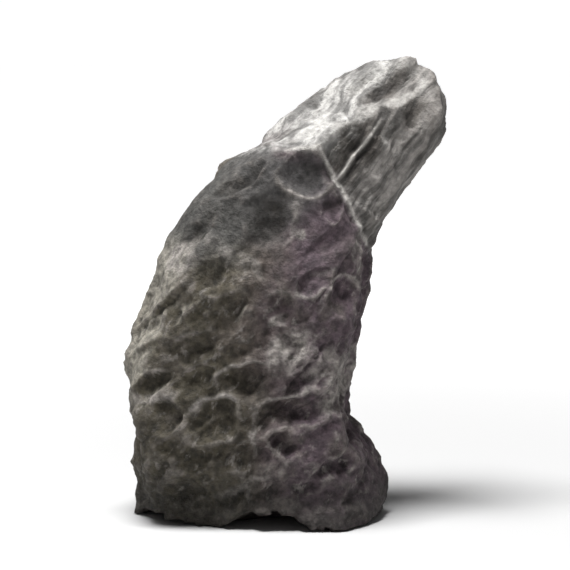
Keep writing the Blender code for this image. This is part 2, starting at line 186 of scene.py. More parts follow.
@dataclass(frozen=True)
class Lump:
    """The space inside a handful of broken faces, each a point and its outward direction."""

    faces: dict[str, Face]
    worn_edge: float = 1.6

    def distance(self, points: Array) -> Array:
        """How far outside the lump the points are: the largest distance past any face."""
        places, directions = (np.array(column, float) for column in zip(*self.faces.values()))
        directions /= np.linalg.norm(directions, axis=1, keepdims=True)
        past = directions @ points.T - (places * directions).sum(axis=1)[:, None]
        return smooth_max(past, self.worn_edge)


def front_slab() -> Lump:
    """The dark slab in front, with the ledge that ends it below the finger."""
    return Lump({
        "upper face": ((0, -28, 118), (-0.02, -0.965, 0.26)),
        "lower face": ((-6, -38, 66), (-0.04, -0.995, 0.03)),
        "left face": ((-33, -33, 80), (-0.46, -0.87, 0.16)),
        "right face": ((25, -33, 82), (0.50, -0.86, 0.05)),
        "under face": ((-10, -38, 19), (-0.10, -0.80, -0.60)),
        "left flank": ((-52, -19, 72), (-0.80, -0.42, 0.42)),
        "left side": ((-57, 0, 46), (-0.99, -0.08, -0.10)),
        "left brow": ((-52.5, -5, 79), (-0.93, -0.05, 0.36)),
        "left shoulder": ((-29, -10, 119.5), (-0.80, -0.05, 0.60)),
        "left crown": ((-10, -10, 139.5), (-0.38, -0.10, 0.92)),
        "ledge": ((8, -16, 144.5), (0.04, -0.12, 0.99)),
        "ledge slope": ((28, -16, 127), (0.86, -0.10, 0.50)),
        "right side": ((35, -5, 80), (0.985, -0.05, -0.13)),
        "hidden left": ((-47, 4, 90), (-0.50, 0.86, 0.08)),
        "hidden back": ((0, 9, 110), (0, 0.97, 0.25)),
        "underside": ((0, 0, -1.5), (0.03, -0.05, -1)),
    })


def rear_slab() -> Lump:
    """The thicker slab behind the front one."""
    return Lump({
        "shoulder": ((-26, 0, 116), (-0.78, 0.05, 0.62)),
        "crest": ((1, 0, 142.5), (-0.62, 0.0, 0.78)),
        "top": ((20, 8, 146), (0.25, 0.15, 0.95)),
        "right side": ((35, 6, 80), (0.97, 0.18, -0.13)),
        "back face": ((0, 33, 80), (-0.05, 0.985, 0.16)),
        "back left": ((-42, 16, 80), (-0.72, 0.62, 0.31)),
        "back right": ((32, 24, 70), (0.66, 0.74, 0.1)),
        "left side": ((-52, 2, 50), (-0.97, 0.24, -0.03)),
        "back foot": ((0, 40, 30), (0, 0.99, -0.12)),
        "hidden front": ((0, -12, 90), (0, -1, 0)),
        "underside": ((0, 0, -1.5), (-0.03, 0.06, -1)),
    })


def rear_leaf() -> Lump:
    """The finger's rear leaf, with the pale bevel along its crest."""
    return Lump({
        "crest": ((0, 0, 148.5), (-0.68, 0.0, 0.73)),
        "crest top": ((38, 0, 177), (-0.34, 0.05, 0.94)),
        "bevel": ((20.5, 1, 163), (-0.52, -0.60, 0.60)),
        "front": ((30, -6, 155), (0.06, -0.995, 0.08)),
        "tip": ((57, 0, 177), (0.66, 0.1, 0.75)),
        "tip right": ((63.5, 0, 160), (0.98, 0.05, 0.17)),
        "under": ((60, 0, 143), (0.86, 0.1, -0.5)),
        "throat": ((46, 0, 121), (0.78, 0.1, -0.62)),
        "back": ((40, 19, 150), (0.05, 0.97, 0.22)),
        "root": ((-1, 0, 138), (-0.90, 0, -0.43)),
        "root back": ((0, 13, 142), (-0.60, 0.75, 0.20)),
    })


def front_leaf() -> Lump:
    """The finger's front leaf, set a little lower than the rear one."""
    return Lump({
        "crest": ((60, -8, 174.5), (-0.40, -0.1, 0.91)),
        "bevel": ((29, -10, 155), (-0.30, -0.62, 0.72)),
        "front": ((42, -15.5, 148), (0.05, -0.995, 0.08)),
        "tip": ((63, -5, 171), (0.80, -0.1, 0.58)),
        "tip right": ((65, 0, 158), (0.99, 0.02, 0.10)),
        "tip under": ((64.0, 0, 146.6), (0.90, 0.0, -0.43)),
        "throat": ((51, 0, 121), (0.79, 0.0, -0.61)),
        "back": ((40, 10, 150), (0.1, 0.97, 0.15)),
        "root": ((13, 0, 138), (-0.86, 0, -0.50)),
    })


def base() -> Lump:
    """The low body that the slabs stand in, set back below the front slab's edge."""
    return Lump({
        "front": ((-10, -29, 12), (-0.06, -0.97, 0.22)),
        "front left": ((-48, -18, 12), (-0.80, -0.58, 0.20)),
        "left": ((-53, 0, 12), (-0.99, 0.0, 0.10)),
        "back left": ((-44, 26, 12), (-0.72, 0.68, 0.15)),
        "front right": ((34, -16, 12), (0.72, -0.66, 0.22)),
        "right": ((38, 4, 12), (0.97, 0.10, 0.20)),
        "top": ((0, 0, 34), (0, 0, 1)),
        "back": ((0, 36, 12), (0.10, 0.97, 0.22)),
        "back right": ((27, 26, 12), (0.70, 0.70, 0.12)),
        "underside": ((0, 0, -1.5), (0, 0, -1)),
    })


def toe() -> Lump:
    """The toe at the lower right, and the ridge that runs from it along the front."""
    return Lump({
        "slope": ((29.5, -10, 37), (0.79, -0.12, 0.60)),
        "front": ((26, -33, 20), (0.16, -0.95, 0.26)),
        "end": ((44.5, -5, 10), (0.97, -0.1, -0.2)),
        "end front": ((41, -22, 10), (0.72, -0.69, 0.05)),
        "back": ((30, 14, 20), (0.15, 0.98, 0.1)),
        "end back": ((39, 6, 12), (0.80, 0.60, -0.05)),
        "left": ((-38, 0, 8), (-0.99, 0.0, 0.15)),
        "front left": ((-28, -26, 8), (-0.62, -0.77, 0.15)),
        "inner": ((-34, 0, 14), (-0.40, -0.12, 0.90)),
        "underside": ((0, 0, -1.5), (-0.05, 0.0, -1)),
    })


def heel() -> Lump:
    """The heel at the back, which the stone leans away from."""
    return Lump({
        "back": ((-15, 41, 20), (-0.15, 0.97, 0.18)),
        "back left": ((-40, 30, 20), (-0.75, 0.62, 0.22)),
        "left": ((-50, 10, 20), (-0.98, 0.05, 0.15)),
        "top": ((-25, 25, 46), (-0.2, 0.3, 0.93)),
        "right": ((18, 30, 20), (0.8, 0.55, 0.2)),
        "back right": ((4, 38, 14), (0.45, 0.89, 0.05)),
        "front": ((-20, -5, 20), (0, -1, 0)),
        "underside": ((0, 0, -1.5), (0.04, 0.03, -1)),
    })


@dataclass(frozen=True)
class Form:
    """The whole stone before it is carved: the union of its lumps, and the spine in it."""

    lumps: tuple[Lump, ...] = field(
        default_factory=lambda: (
            front_slab(), rear_slab(), rear_leaf(), front_leaf(), base(), toe(), heel(),
        )
    )
    fillet: float = 2.0
    wanders: tuple[Span, ...] = ((48.0, 2.6), (19.0, 1.5))
    spine: tuple[Point, Point, Point] = ((-7.0, 0.0, 3.0), (-10.0, 2.0, 106.0), (46.0, 2.0, 153.0))
    level_at_base: float = 12.0
    level_at_tip: float = 2.4
    furthest: float = 110.0
    march_steps: int = 44
    halvings: int = 12
    probe: float = 0.6

    def distance(self, points: Array) -> Array:
        """How far outside the form the points are.

        Args:
            points: Places, which first wander by a slow noise so that no face is flat.

        Returns:
            The smallest of the lumps' distances, rounded where two lumps meet.
        """
        for seed, (length, height) in enumerate(self.wanders):
            points = points + height * LATTICE.vector(points / length, Seed.WANDER + 10 * seed)
        return -smooth_max(np.stack([-lump.distance(points) for lump in self.lumps]), self.fillet)

    def spine_at(self, share: Array) -> Array:
        """Points along the bent spine: a quadratic Bezier curve from base to tip."""
        share = share[:, None]
        low, bend, high = (np.array(point) for point in self.spine)
        return (1 - share) ** 2 * low + 2 * share * (1 - share) * bend + share**2 * high

    def rays(self, turns: Array, rises: Array) -> Array:
        """Directions that surface points are cast in.

        Args:
            turns: Angle round the spine.
            rises: Share of the way up it, from 0 to 1.

        Returns:
            Unit vectors, level along the stone and turned down at its base and up at its tip.
        """
        upper = np.clip(2 * rises - 1, 0, 1) ** self.level_at_tip
        lower = np.clip(1 - 2 * rises, 0, 1) ** self.level_at_base
        tilts = (upper - lower) * math.pi / 2
        level = np.cos(tilts)
        return np.stack([level * np.cos(turns), level * np.sin(turns), np.sin(tilts)], axis=1)

    def cast(self, turns: Array, rises: Array) -> tuple[Array, Array]:
        """Where rays from the spine leave the form.

        Args:
            turns: Angle round the spine.
            rises: Share of the way up it.

        Returns:
            The point where each ray first leaves the form, found by steps and then by
            halving, and the ray's direction.
        """
        centres, rays = self.spine_at(rises), self.rays(turns, rises)
        stride = self.furthest / self.march_steps
        inside = np.zeros(len(rays))
        going = np.ones(len(rays), bool)
        for step in range(1, self.march_steps + 1):
            which = np.flatnonzero(going)
            reach = np.full(len(which), step * stride)
            out = self.distance(centres[which] + rays[which] * reach[:, None]) > 0
            going[which[out]] = False
            inside[which[~out]] = reach[~out]
        outside = inside + stride
        for _ in range(self.halvings):
            middle = (inside + outside) / 2
            out = self.distance(centres + rays * middle[:, None]) > 0
            outside = np.where(out, middle, outside)
            inside = np.where(out, inside, middle)
        return centres + rays * inside[:, None], rays

    def outward(self, points: Array) -> Array:
        """The form's outward direction, from its distance at four corners round each point."""
        corners = np.array([(1, -1, -1), (-1, -1, 1), (-1, 1, -1), (1, 1, 1)], float)
        slope = sum(
            corner * self.distance(points + self.probe * corner)[:, None] for corner in corners
        )
        return slope / np.linalg.norm(slope, axis=1, keepdims=True)


@dataclass(frozen=True)
class Areas:
    """Where the stone's kinds of surface lie: each method but the first gives a share.

    A span is where a share starts and where it is whole. A noise has its length and its size.
    What grows behind has its value in front, and how much more it is behind.
    """

    slope_point: Point = (28, -16, 126)
    slope_direction: Point = (0.86, 0.0, 0.50)
    ledge_height: float = 143.5
    finger_span: Span = (-2.0, 3.0)
    behind: Span = (-15.0, -2.0)
    stray_length: Span = (4.0, 6.0)
    stray_size: Span = (0.6, 7.0)
    tone_shift: Span = (2.0, 8.0)
    tone_width: Span = (5.0, 17.0)
    calm_rise: Span = (88.0, 108.0)
    calm_front: Span = (2.0, -8.0)
    calm_border: Span = (14.0, 8.0)
    calm_lean: float = 0.2
    calm_stray: Span = (13.0, 6.0)

    def past_ledge(self, points: Array) -> Array:
        """How far past the front slab's upper edge the points are, in millimetres."""
        past_slope = (points - self.slope_point) @ np.array(self.slope_direction)
        return np.maximum(past_slope, points[:, 2] - self.ledge_height)

    def finger(self, points: Array) -> Array:
        """The banded finger above the ledge."""
        return smooth_step(*self.finger_span, self.past_ledge(points))

    def finger_tone(self, points: Array) -> Array:
        """The finger's colour: crisp along the front slab's edge, and straying behind it."""
        behind = smooth_step(*self.behind, points[:, 1])
        lengths = grown(self.stray_length, behind)[:, None]
        stray = grown(self.stray_size, behind) * LATTICE.noise(points / lengths, Seed.FINGER_TONE)
        past = self.past_ledge(points) + stray + grown(self.tone_shift, behind)
        return smooth_step(0.0, 1.0, past / grown(self.tone_width, behind))

    def calm(self, points: Array) -> Array:
        """The smooth dark upper part of the front."""
        length, size = self.calm_border
        border = size * LATTICE.noise(points / length, Seed.CALM_BORDER) - self.calm_lean * points[:, 0]
        height = smooth_step(*self.calm_rise, points[:, 2] + border)
        return height * smooth_step(*self.calm_front, points[:, 1]) * (1 - self.finger(points))

    def calm_tone(self, points: Array) -> Array:
        """The calm area's colour, whose border strays."""
        length, size = self.calm_stray
        return self.calm(points + size * LATTICE.vector(points / length, Seed.CALM_TONE))


AREAS = Areas()


@dataclass(frozen=True)
class Layers:
    """The stone's layers: the way they face and run, and the pitch and step of each sort.

    Each layer steps out over the riser's share of its pitch, and falls back by the fall's
    share over the rest. The shares are of the relief: everywhere, on the finger, in patches.
    """

    facing: Point = (-0.77, -0.10, 0.63)
    run: Point = (0.60, -0.05, 0.80)
    courses: tuple[Span, ...] = ((11.0, 2.1), (3.4, 0.45))
    drifts: tuple[Span, ...] = ((31.0, 5.0), (8.0, 1.2))
    riser: float = 0.25
    fall: float = 0.8
    mean: float = 0.55
    patch_length: float = 23.0
    patch_span: Span = (-0.3, 0.5)
    shares: Point = (0.1, 0.3, 0.6)

    def normal(self) -> Array:
        """The layers' unit normal."""
        facing = np.array(self.facing)
        return facing / np.linalg.norm(facing)

    def across(self, points: Array) -> Array:
        """How far across the layers each point lies, with their slow drift."""
        across = points @ self.normal()
        for order, (length, size) in enumerate(self.drifts):
            across = across + size * LATTICE.noise(points / length, Seed.LAYER_DRIFT + order)
        return across

    def relief(self, points: Array) -> Array:
        """Each layer steps out slowly and then breaks back, here and there.

        Args:
            points: Places on the form.

        Returns:
            How far each point stands out: a saw of the distance across the layers, by a
            patchy share that is whole on the finger.
        """
        across = self.across(points)
        total = np.zeros(len(points))
        for pitch, step in self.courses:
            share = across / pitch - np.floor(across / pitch)
            height = smooth_step(0.0, self.riser, share) * (1 - self.fall * share)
            total += step * (height - self.mean)
        patch = LATTICE.noise(points / self.patch_length, Seed.LAYER_PATCH)
        everywhere, on_finger, in_patches = self.shares
        share = everywhere + on_finger * AREAS.finger(points)
        return total * (share + in_patches * smooth_step(*self.patch_span, patch))


LAYERS = Layers()


@dataclass(frozen=True)
class Rim:
    """The rim of one hollow, raised a little and painted with a pale highlight on the side that catches
    the light: which way it lies from the middle, and how far it spreads.

    The bearing and the spread to both sides are in degrees, 0 to the right and 90 up. The
    edge and the width are shares of the hollow's reach.
    """

    hollow: int
    bearing: float
    spread: float
    strength: float = 1.0
    edge: float = 1.0
    width: float = 0.12


@dataclass(frozen=True)
class Hollows:
    """Ellipsoid hollows: their middles, their axes divided by their reach, and their depths."""

    middles: Array
    axes: Array
    depths: Array
    rim_length: float = 7.0
    rim_wander: float = 2.0
    rim_chips: Span = (2.8, 0.5)
    rim_fade: float = 0.35
    fullness: float = 0.85
    chunk: int = 2000

    def wandered(self, points: Array) -> Array:
        """The points moved by two sizes of noise, so that no rim is an even oval."""
        wander = LATTICE.vector(points / self.rim_length, Seed.HOLLOW_RIM)
        chip_length, chip_size = self.rim_chips
        chips = LATTICE.vector(points / chip_length, Seed.RIM_CHIPS)
        return points + self.rim_wander * wander + chip_size * chips

    def rims_at(self, points: Array, rims: tuple[Rim, ...]) -> Array:
        """How much each point lies on a rim that gets a painted pale highlight.

        Args:
            points: Places on the form.
            rims: The rims of some of the hollows.

        Returns:
            The largest, over the rims, of the rim's strength times a bell of the distance
            outside the hollow's edge, by how near the point's bearing is to the rim's.
        """
        points = self.wandered(points)
        total = np.zeros(len(points))
        for rim in rims:
            away = points - self.middles[rim.hollow]
            beyond = np.linalg.norm(away @ self.axes[rim.hollow].T, axis=1) - rim.edge
            off = np.cos(np.arctan2(away[:, 2], away[:, 0]) - math.radians(rim.bearing))
            spread = math.radians(rim.spread)
            ends = math.cos(spread + self.rim_fade), math.cos(spread - self.rim_fade)
            faced = smooth_step(*ends, off)
            total = np.maximum(total, rim.strength * faced * np.exp(-((beyond / rim.width) ** 2)))
        return total

    def depth_at(self, points: Array) -> Array:
        """How deep the hollows are at each point.

        Args:
            points: Places on the form, in an order that keeps neighbours together.

        Returns:
            The deepest of depth times a power of one minus the squared distance, in each
            hollow's own axes, over the hollows that hold the point.
        """
        points = self.wandered(points)
        offsets = np.einsum("hij,hj->hi", self.axes, self.middles)
        reaches = 1 / np.linalg.norm(self.axes, axis=2).min(axis=1)
        deepest = np.zeros(len(points))
        for start in range(0, len(points), self.chunk):
            some = points[start : start + self.chunk]
            low, high = some.min(axis=0), some.max(axis=0)
            beyond = np.maximum(low - self.middles, self.middles - high).max(axis=1)
            near = np.flatnonzero(beyond < reaches)
            if not len(near):
                continue
            inside = np.ones((len(some), len(near)))
            for axis in range(3):
                inside -= (some @ self.axes[near, axis].T - offsets[near, axis]) ** 2
            depths = (np.maximum(inside, 0) ** self.fullness * self.depths[near]).max(axis=1)
            deepest[start : start + self.chunk] = depths
        return deepest


@dataclass(frozen=True)
class Carving:
    """Everything that is carved into the form.

    Each listed hollow has its middle's X and Z, its half length, its half width, the
    angle that its length rises at, and its depth. Each strewn sort has a count, a least and
    a greatest reach, and a depth as a share of the reach. Each size of crease has its length
    and its height. What is shallow or smooth on an area loses that share there.
    """

    form: Form
    front: tuple[Patch, ...] = (
        (44.5, 166.5, 13.0, 3.8, 38, 2.6),
        (30.5, 143.5, 11.5, 5.0, 55, 2.2),
        (37.5, 142.0, 16.0, 3.6, 57, 1.8),
        (56.0, 158.0, 8.5, 4.6, 62, 1.8),
        (14.0, 133.5, 11.0, 8.5, 10, 5.0),
        (-1.0, 118.0, 12.5, 10.5, 70, 4.4),
        (-17.0, 118.5, 9.5, 8.5, 40, 1.8),
        (24.5, 122.0, 6.0, 3.6, 25, 2.6),
        (20.0, 107.0, 13.0, 9.5, 30, 1.8),
        (-12.0, 132.5, 13.0, 3.6, 32, 3.0),
        (-29.0, 113.0, 10.0, 3.4, 45, 3.0),
        (16.0, 95.0, 8.0, 5.5, 10, 3.2),
        (28.5, 88.0, 8.0, 6.5, 60, 4.0),
        (6.0, 84.0, 9.5, 6.5, -30, 3.8),
        (-7.0, 97.0, 8.0, 5.0, 20, 2.2),
        (-24.0, 97.0, 8.0, 5.5, 55, 3.4),
        (-17.0, 82.0, 10.0, 5.8, 45, 3.8),
        (-36.0, 85.0, 9.0, 5.0, 60, 3.4),
        (-6.0, 71.0, 8.5, 5.0, 25, 3.6),
        (9.0, 70.0, 7.0, 4.8, 30, 3.8),
        (24.0, 70.0, 7.5, 5.0, 40, 3.4),
        (-31.0, 68.5, 10.0, 5.4, 30, 4.0),
        (-9.5, 57.0, 11.0, 6.2, 8, 6.0),
        (13.0, 58.5, 9.5, 4.6, 28, 4.2),
        (-29.0, 57.0, 9.0, 5.0, 22, 4.0),
        (-46.0, 55.0, 9.0, 5.0, 28, 3.8),
        (-22.0, 43.0, 11.5, 8.6, 20, 6.2),
        (7.0, 45.5, 15.0, 6.8, 14, 6.2),
        (-41.0, 42.0, 8.5, 5.6, 25, 4.4),
        (6.0, 33.0, 6.0, 5.0, 5, 4.4),
        (26.0, 47.0, 7.0, 4.2, 50, 2.8),
        (-9.0, 28.5, 9.0, 5.4, 18, 4.4),
        (-30.0, 27.0, 9.5, 5.6, 15, 4.4),
        (24.0, 24.0, 9.0, 5.0, 20, 3.2),
        (-45.0, 22.0, 8.0, 5.0, 15, 3.0),
        (-33.0, 14.0, 10.0, 5.5, 22, 3.8),
        (-3.0, 12.5, 11.0, 4.8, 27, 3.8),
        (14.0, 17.0, 8.0, 4.2, 27, 3.2),
        (32.0, 13.0, 7.5, 4.6, 24, 2.8),
    )
    front_through: float = 15.0
    drop_from: float = -80.0
    drop_steps: int = 60
    drop_share: float = 0.9
    # rims raised a little, and painted with a pale highlight where they catch the light
    rims: tuple[Rim, ...] = (
        Rim(4, -95, 75, 0.75),
        Rim(5, -10, 45, 0.55),
        Rim(8, -80, 30, 0.3),
        Rim(11, -100, 65, 0.9),
        Rim(12, 85, 70, 0.9),
        Rim(13, 100, 40, 0.35),
        Rim(16, 100, 45, 0.35),
        Rim(19, 80, 40, 0.45),
        Rim(21, 100, 50, 0.4),
        Rim(22, 100, 70, 0.85),
        Rim(23, 90, 45, 0.45),
        Rim(25, 90, 40, 0.5),
        Rim(26, 95, 75, 0.85),
        Rim(27, 100, 65, 0.85),
        Rim(29, 100, 40, 0.35),
        Rim(31, 100, 40, 0.35),
    )
    rim_height: float = 0.5
    broad: tuple[int, float, float, float] = (46, 12.0, 24.0, 0.26)
    small: tuple[int, float, float, float] = (560, 4.0, 12.0, 0.38)
    fine: tuple[int, float, float, float] = (2600, 1.5, 4.6, 0.42)
    placed_share: float = 0.78
    small_share: float = 0.6
    fine_share: float = 0.3
    stretch: float = 1.7
    finger_stretch: float = 1.2
    low_bias: float = 1.25
    row_run: Point = (0.90, -0.05, 0.42)
    run_jitter: float = 0.45
    depth_spread: Span = (0.65, 0.35)
    calm_shallow: float = 0.7
    finger_shallow: float = 0.35
    crowded_share: float = 0.25
    crowded_span: Span = (0.6, 1.4)
    roughness: tuple[Span, ...] = ((10.0, 0.8), (5.5, 0.5), (2.6, 0.22))
    rows: tuple[Span, ...] = ((8.0, 1.1), (4.2, 0.5))
    row_stretch: float = 2.2
    crease: Span = (0.45, -1.6)
    calm_smooth: float = 0.65
    finger_smooth: float = 0.7
    least_facing: float = 0.45

    def front_hollows(self) -> Hollows:
        """The listed hollows, dropped onto the front of the form."""
        x, z, length, width, angle, depth = np.array(self.front).T
        middles = np.stack([x, np.full(len(x), self.drop_from), z], axis=1)
        for _ in range(self.drop_steps):
            middles[:, 1] += np.maximum(self.form.distance(middles), 0) * self.drop_share
        cosine, sine, none = np.cos(np.radians(angle)), np.sin(np.radians(angle)), np.zeros(len(x))
        along = np.stack([cosine, none, sine], axis=1) / length[:, None]
        across = np.stack([-sine, none, cosine], axis=1) / width[:, None]
        through = np.stack([none, none + 1, none], axis=1) / self.front_through
        return Hollows(middles, np.stack([along, across, through], axis=1), depth)

    def strewn_hollows(
        self, sort: tuple[int, float, float, float], seed: int, placed: Hollows
    ) -> Hollows:
        """Hollows strewn at random over the form.

        Args:
            sort: Count, least reach, greatest reach, and depth as a share of the reach.
            seed: Which random values are read.
            placed: The listed hollows, which the strewn ones fade out near.

        Returns:
            Hollows with their length along the layers, shallow on the calm area, and long
            on the finger.
        """
        count, least, greatest, share = sort
        turns = math.pi * LATTICE.scatter(count, seed)
        middles, _ = self.form.cast(turns, LATTICE.shares(count, seed + 1) ** self.low_bias)
        reach = least + (greatest - least) * LATTICE.shares(count, seed + 2) ** 2
        jitter = np.stack([LATTICE.scatter(count, seed + 3 + axis) for axis in range(3)], axis=1)
        finger = AREAS.finger(middles)[:, None]
        run = finger * LAYERS.run + (1 - finger) * self.row_run + self.run_jitter * jitter
        run /= np.linalg.norm(run, axis=1, keepdims=True)
        side = np.cross(run, np.array(LAYERS.facing))
        side /= np.linalg.norm(side, axis=1, keepdims=True)
        up = np.cross(run, side)
        stretch = 1 + (self.stretch - 1) * LATTICE.shares(count, seed + 6)
        stretch *= 1 + self.finger_stretch * AREAS.finger(middles)
        axes = np.stack(
            [run / (reach * stretch)[:, None], side / reach[:, None], up / reach[:, None]], axis=1
        )
        depth = share * reach * grown(self.depth_spread, LATTICE.scatter(count, seed + 7))
        depth *= 1 - self.calm_shallow * AREAS.calm(middles)
        depth *= 1 - self.finger_shallow * AREAS.finger(middles)
        gaps = np.linalg.norm(middles[:, None] - placed.middles[None], axis=2).min(axis=1)
        apart = smooth_step(*self.crowded_span, gaps / reach)
        return Hollows(middles, axes, depth * grown((self.crowded_share, 1 - self.crowded_share), apart))

    def creased(self, points: Array, sizes: tuple[Span, ...], seed: int) -> Array:
        """Creased relief, sharp at its crests.

        Args:
            points: Places.
            sizes: The length and the height of each size of crease.
            seed: Which noises are read.

        Returns:
            The sum, over the sizes, of the height times a level that falls with the size of
            the noise.
        """
        total = np.zeros(len(points))
        for order, (length, height) in enumerate(sizes):
            noise = np.abs(LATTICE.noise(points / length, seed + order))
            total += height * grown(self.crease, noise)
        return total

    def scallops(self, points: Array) -> Array:
        """Low ridges that run in rows on the body.

        Args:
            points: Places on the form.

        Returns:
            How far each point stands out: the creases of places that are pressed together
            along the rows, which draws their crests out that way.
        """
        run = np.array(self.row_run) / np.linalg.norm(self.row_run)
        along = (points @ run)[:, None] * run
        pressed = points - (1 - 1 / self.row_stretch) * along
        return self.creased(pressed, self.rows, Seed.SCALLOP) * (1 - AREAS.finger(points))

    def depth_at(self, points: Array) -> tuple[Array, dict[str, Array]]:
        """How deep the carving is at each point of the form.

        Args:
            points: Places on the form.

        Returns:
            The whole carving's depth, in millimetres, and two masks: the listed
            hollows' own depth and their rims' share.
        """
        placed = self.front_hollows()
        broad = self.strewn_hollows(self.broad, Seed.STREWN_BROAD, placed)
        small = self.strewn_hollows(self.small, Seed.STREWN_SMALL, placed)
        fine = self.strewn_hollows(self.fine, Seed.STREWN_FINE, placed)
        calm = 1 - self.calm_smooth * AREAS.calm(points)
        scoops, rims = placed.depth_at(points), placed.rims_at(points, self.rims)
        depth = (1 - self.finger_smooth * AREAS.finger(points)) * broad.depth_at(points)
        depth += np.maximum(self.placed_share * scoops, self.small_share * small.depth_at(points))
        depth += self.fine_share * calm * fine.depth_at(points) - self.rim_height * rims
        rough = self.creased(points, self.roughness, Seed.ROUGH)
        depth -= calm * (LAYERS.relief(points) + rough + self.scallops(points))
        # the scoop mask later gives painted shade in the hollows, and the rim mask a painted pale
        # highlight
        return depth, {"scoop": scoops, "rim": rims}

    def carve(self, points: Array, rays: Array) -> tuple[Array, dict[str, Array]]:
        """Moves each point in along its ray by the carving's depth.

        Args:
            points: Places on the form.
            rays: The rays that they were cast along.

        Returns:
            The carved places, and the masks of the listed hollows.
        """
        depth, masks = self.depth_at(points)
        facing = (self.form.outward(points) * rays).sum(axis=1)
        facing = np.clip(facing, self.least_facing, 1)
        return points - rays * (depth / facing)[:, None], masks


@dataclass(frozen=True)
class Underside:
    """The worn underside: level where the stone rests, and hollow between."""

    length: float = 27.0
    fine_length: float = 9.0
    fine_share: float = 0.25
    height: float = 9.0
    level_share: float = 0.12
    halvings: int = 16

    def height_at(self, points: Array) -> Array:
        """Height of the underside over each X and Y: two noises, cut off at the level."""
        flat = points * (1, 1, 0)
        rise = LATTICE.noise(flat / self.length, Seed.UNDERSIDE)
        rise = rise + self.fine_share * LATTICE.noise(flat / self.fine_length, Seed.UNDERSIDE_FINE)
        return self.height * np.maximum(rise - self.level_share, 0)

    def stop(self, centres: Array, points: Array) -> Array:
        """Stops points that lie below the underside where their rays reach it.

        Args:
            centres: Where each ray starts, inside the stone.
            points: Where each ray ends.

        Returns:
            The points, each drawn back along its ray by halving until it is not below.
        """
        low, high = np.zeros(len(points)), np.ones(len(points))
        spans = points - centres
        for _ in range(self.halvings):
            middle = (low + high) / 2
            place = centres + spans * middle[:, None]
            below = place[:, 2] < self.height_at(place)
            high = np.where(below, middle, high)
            low = np.where(below, low, middle)
        below = points[:, 2] < self.height_at(points)
        return np.where(below[:, None], centres + spans * low[:, None], points)


class Operation(Enum):
    """The sums of two numbers that a finish uses."""

    ADD = "ADD"
    MULTIPLY = "MULTIPLY"
    MAXIMUM = "MAXIMUM"


class Blend(Enum):
    """How two colours are mixed."""

    MIX = "MIX"
    MULTIPLY = "MULTIPLY"


@dataclass(frozen=True)
class Cloud:
    """A noise: its clouds to a metre, how many finer ones are added, and their strength."""

    scale: float
    detail: float
    rough: float = 0.55


@dataclass(frozen=True)
class Curve:
    """An S curve: where it starts and ends, and its values there."""

    low: float
    high: float
    least: float = 0.0
    most: float = 1.0


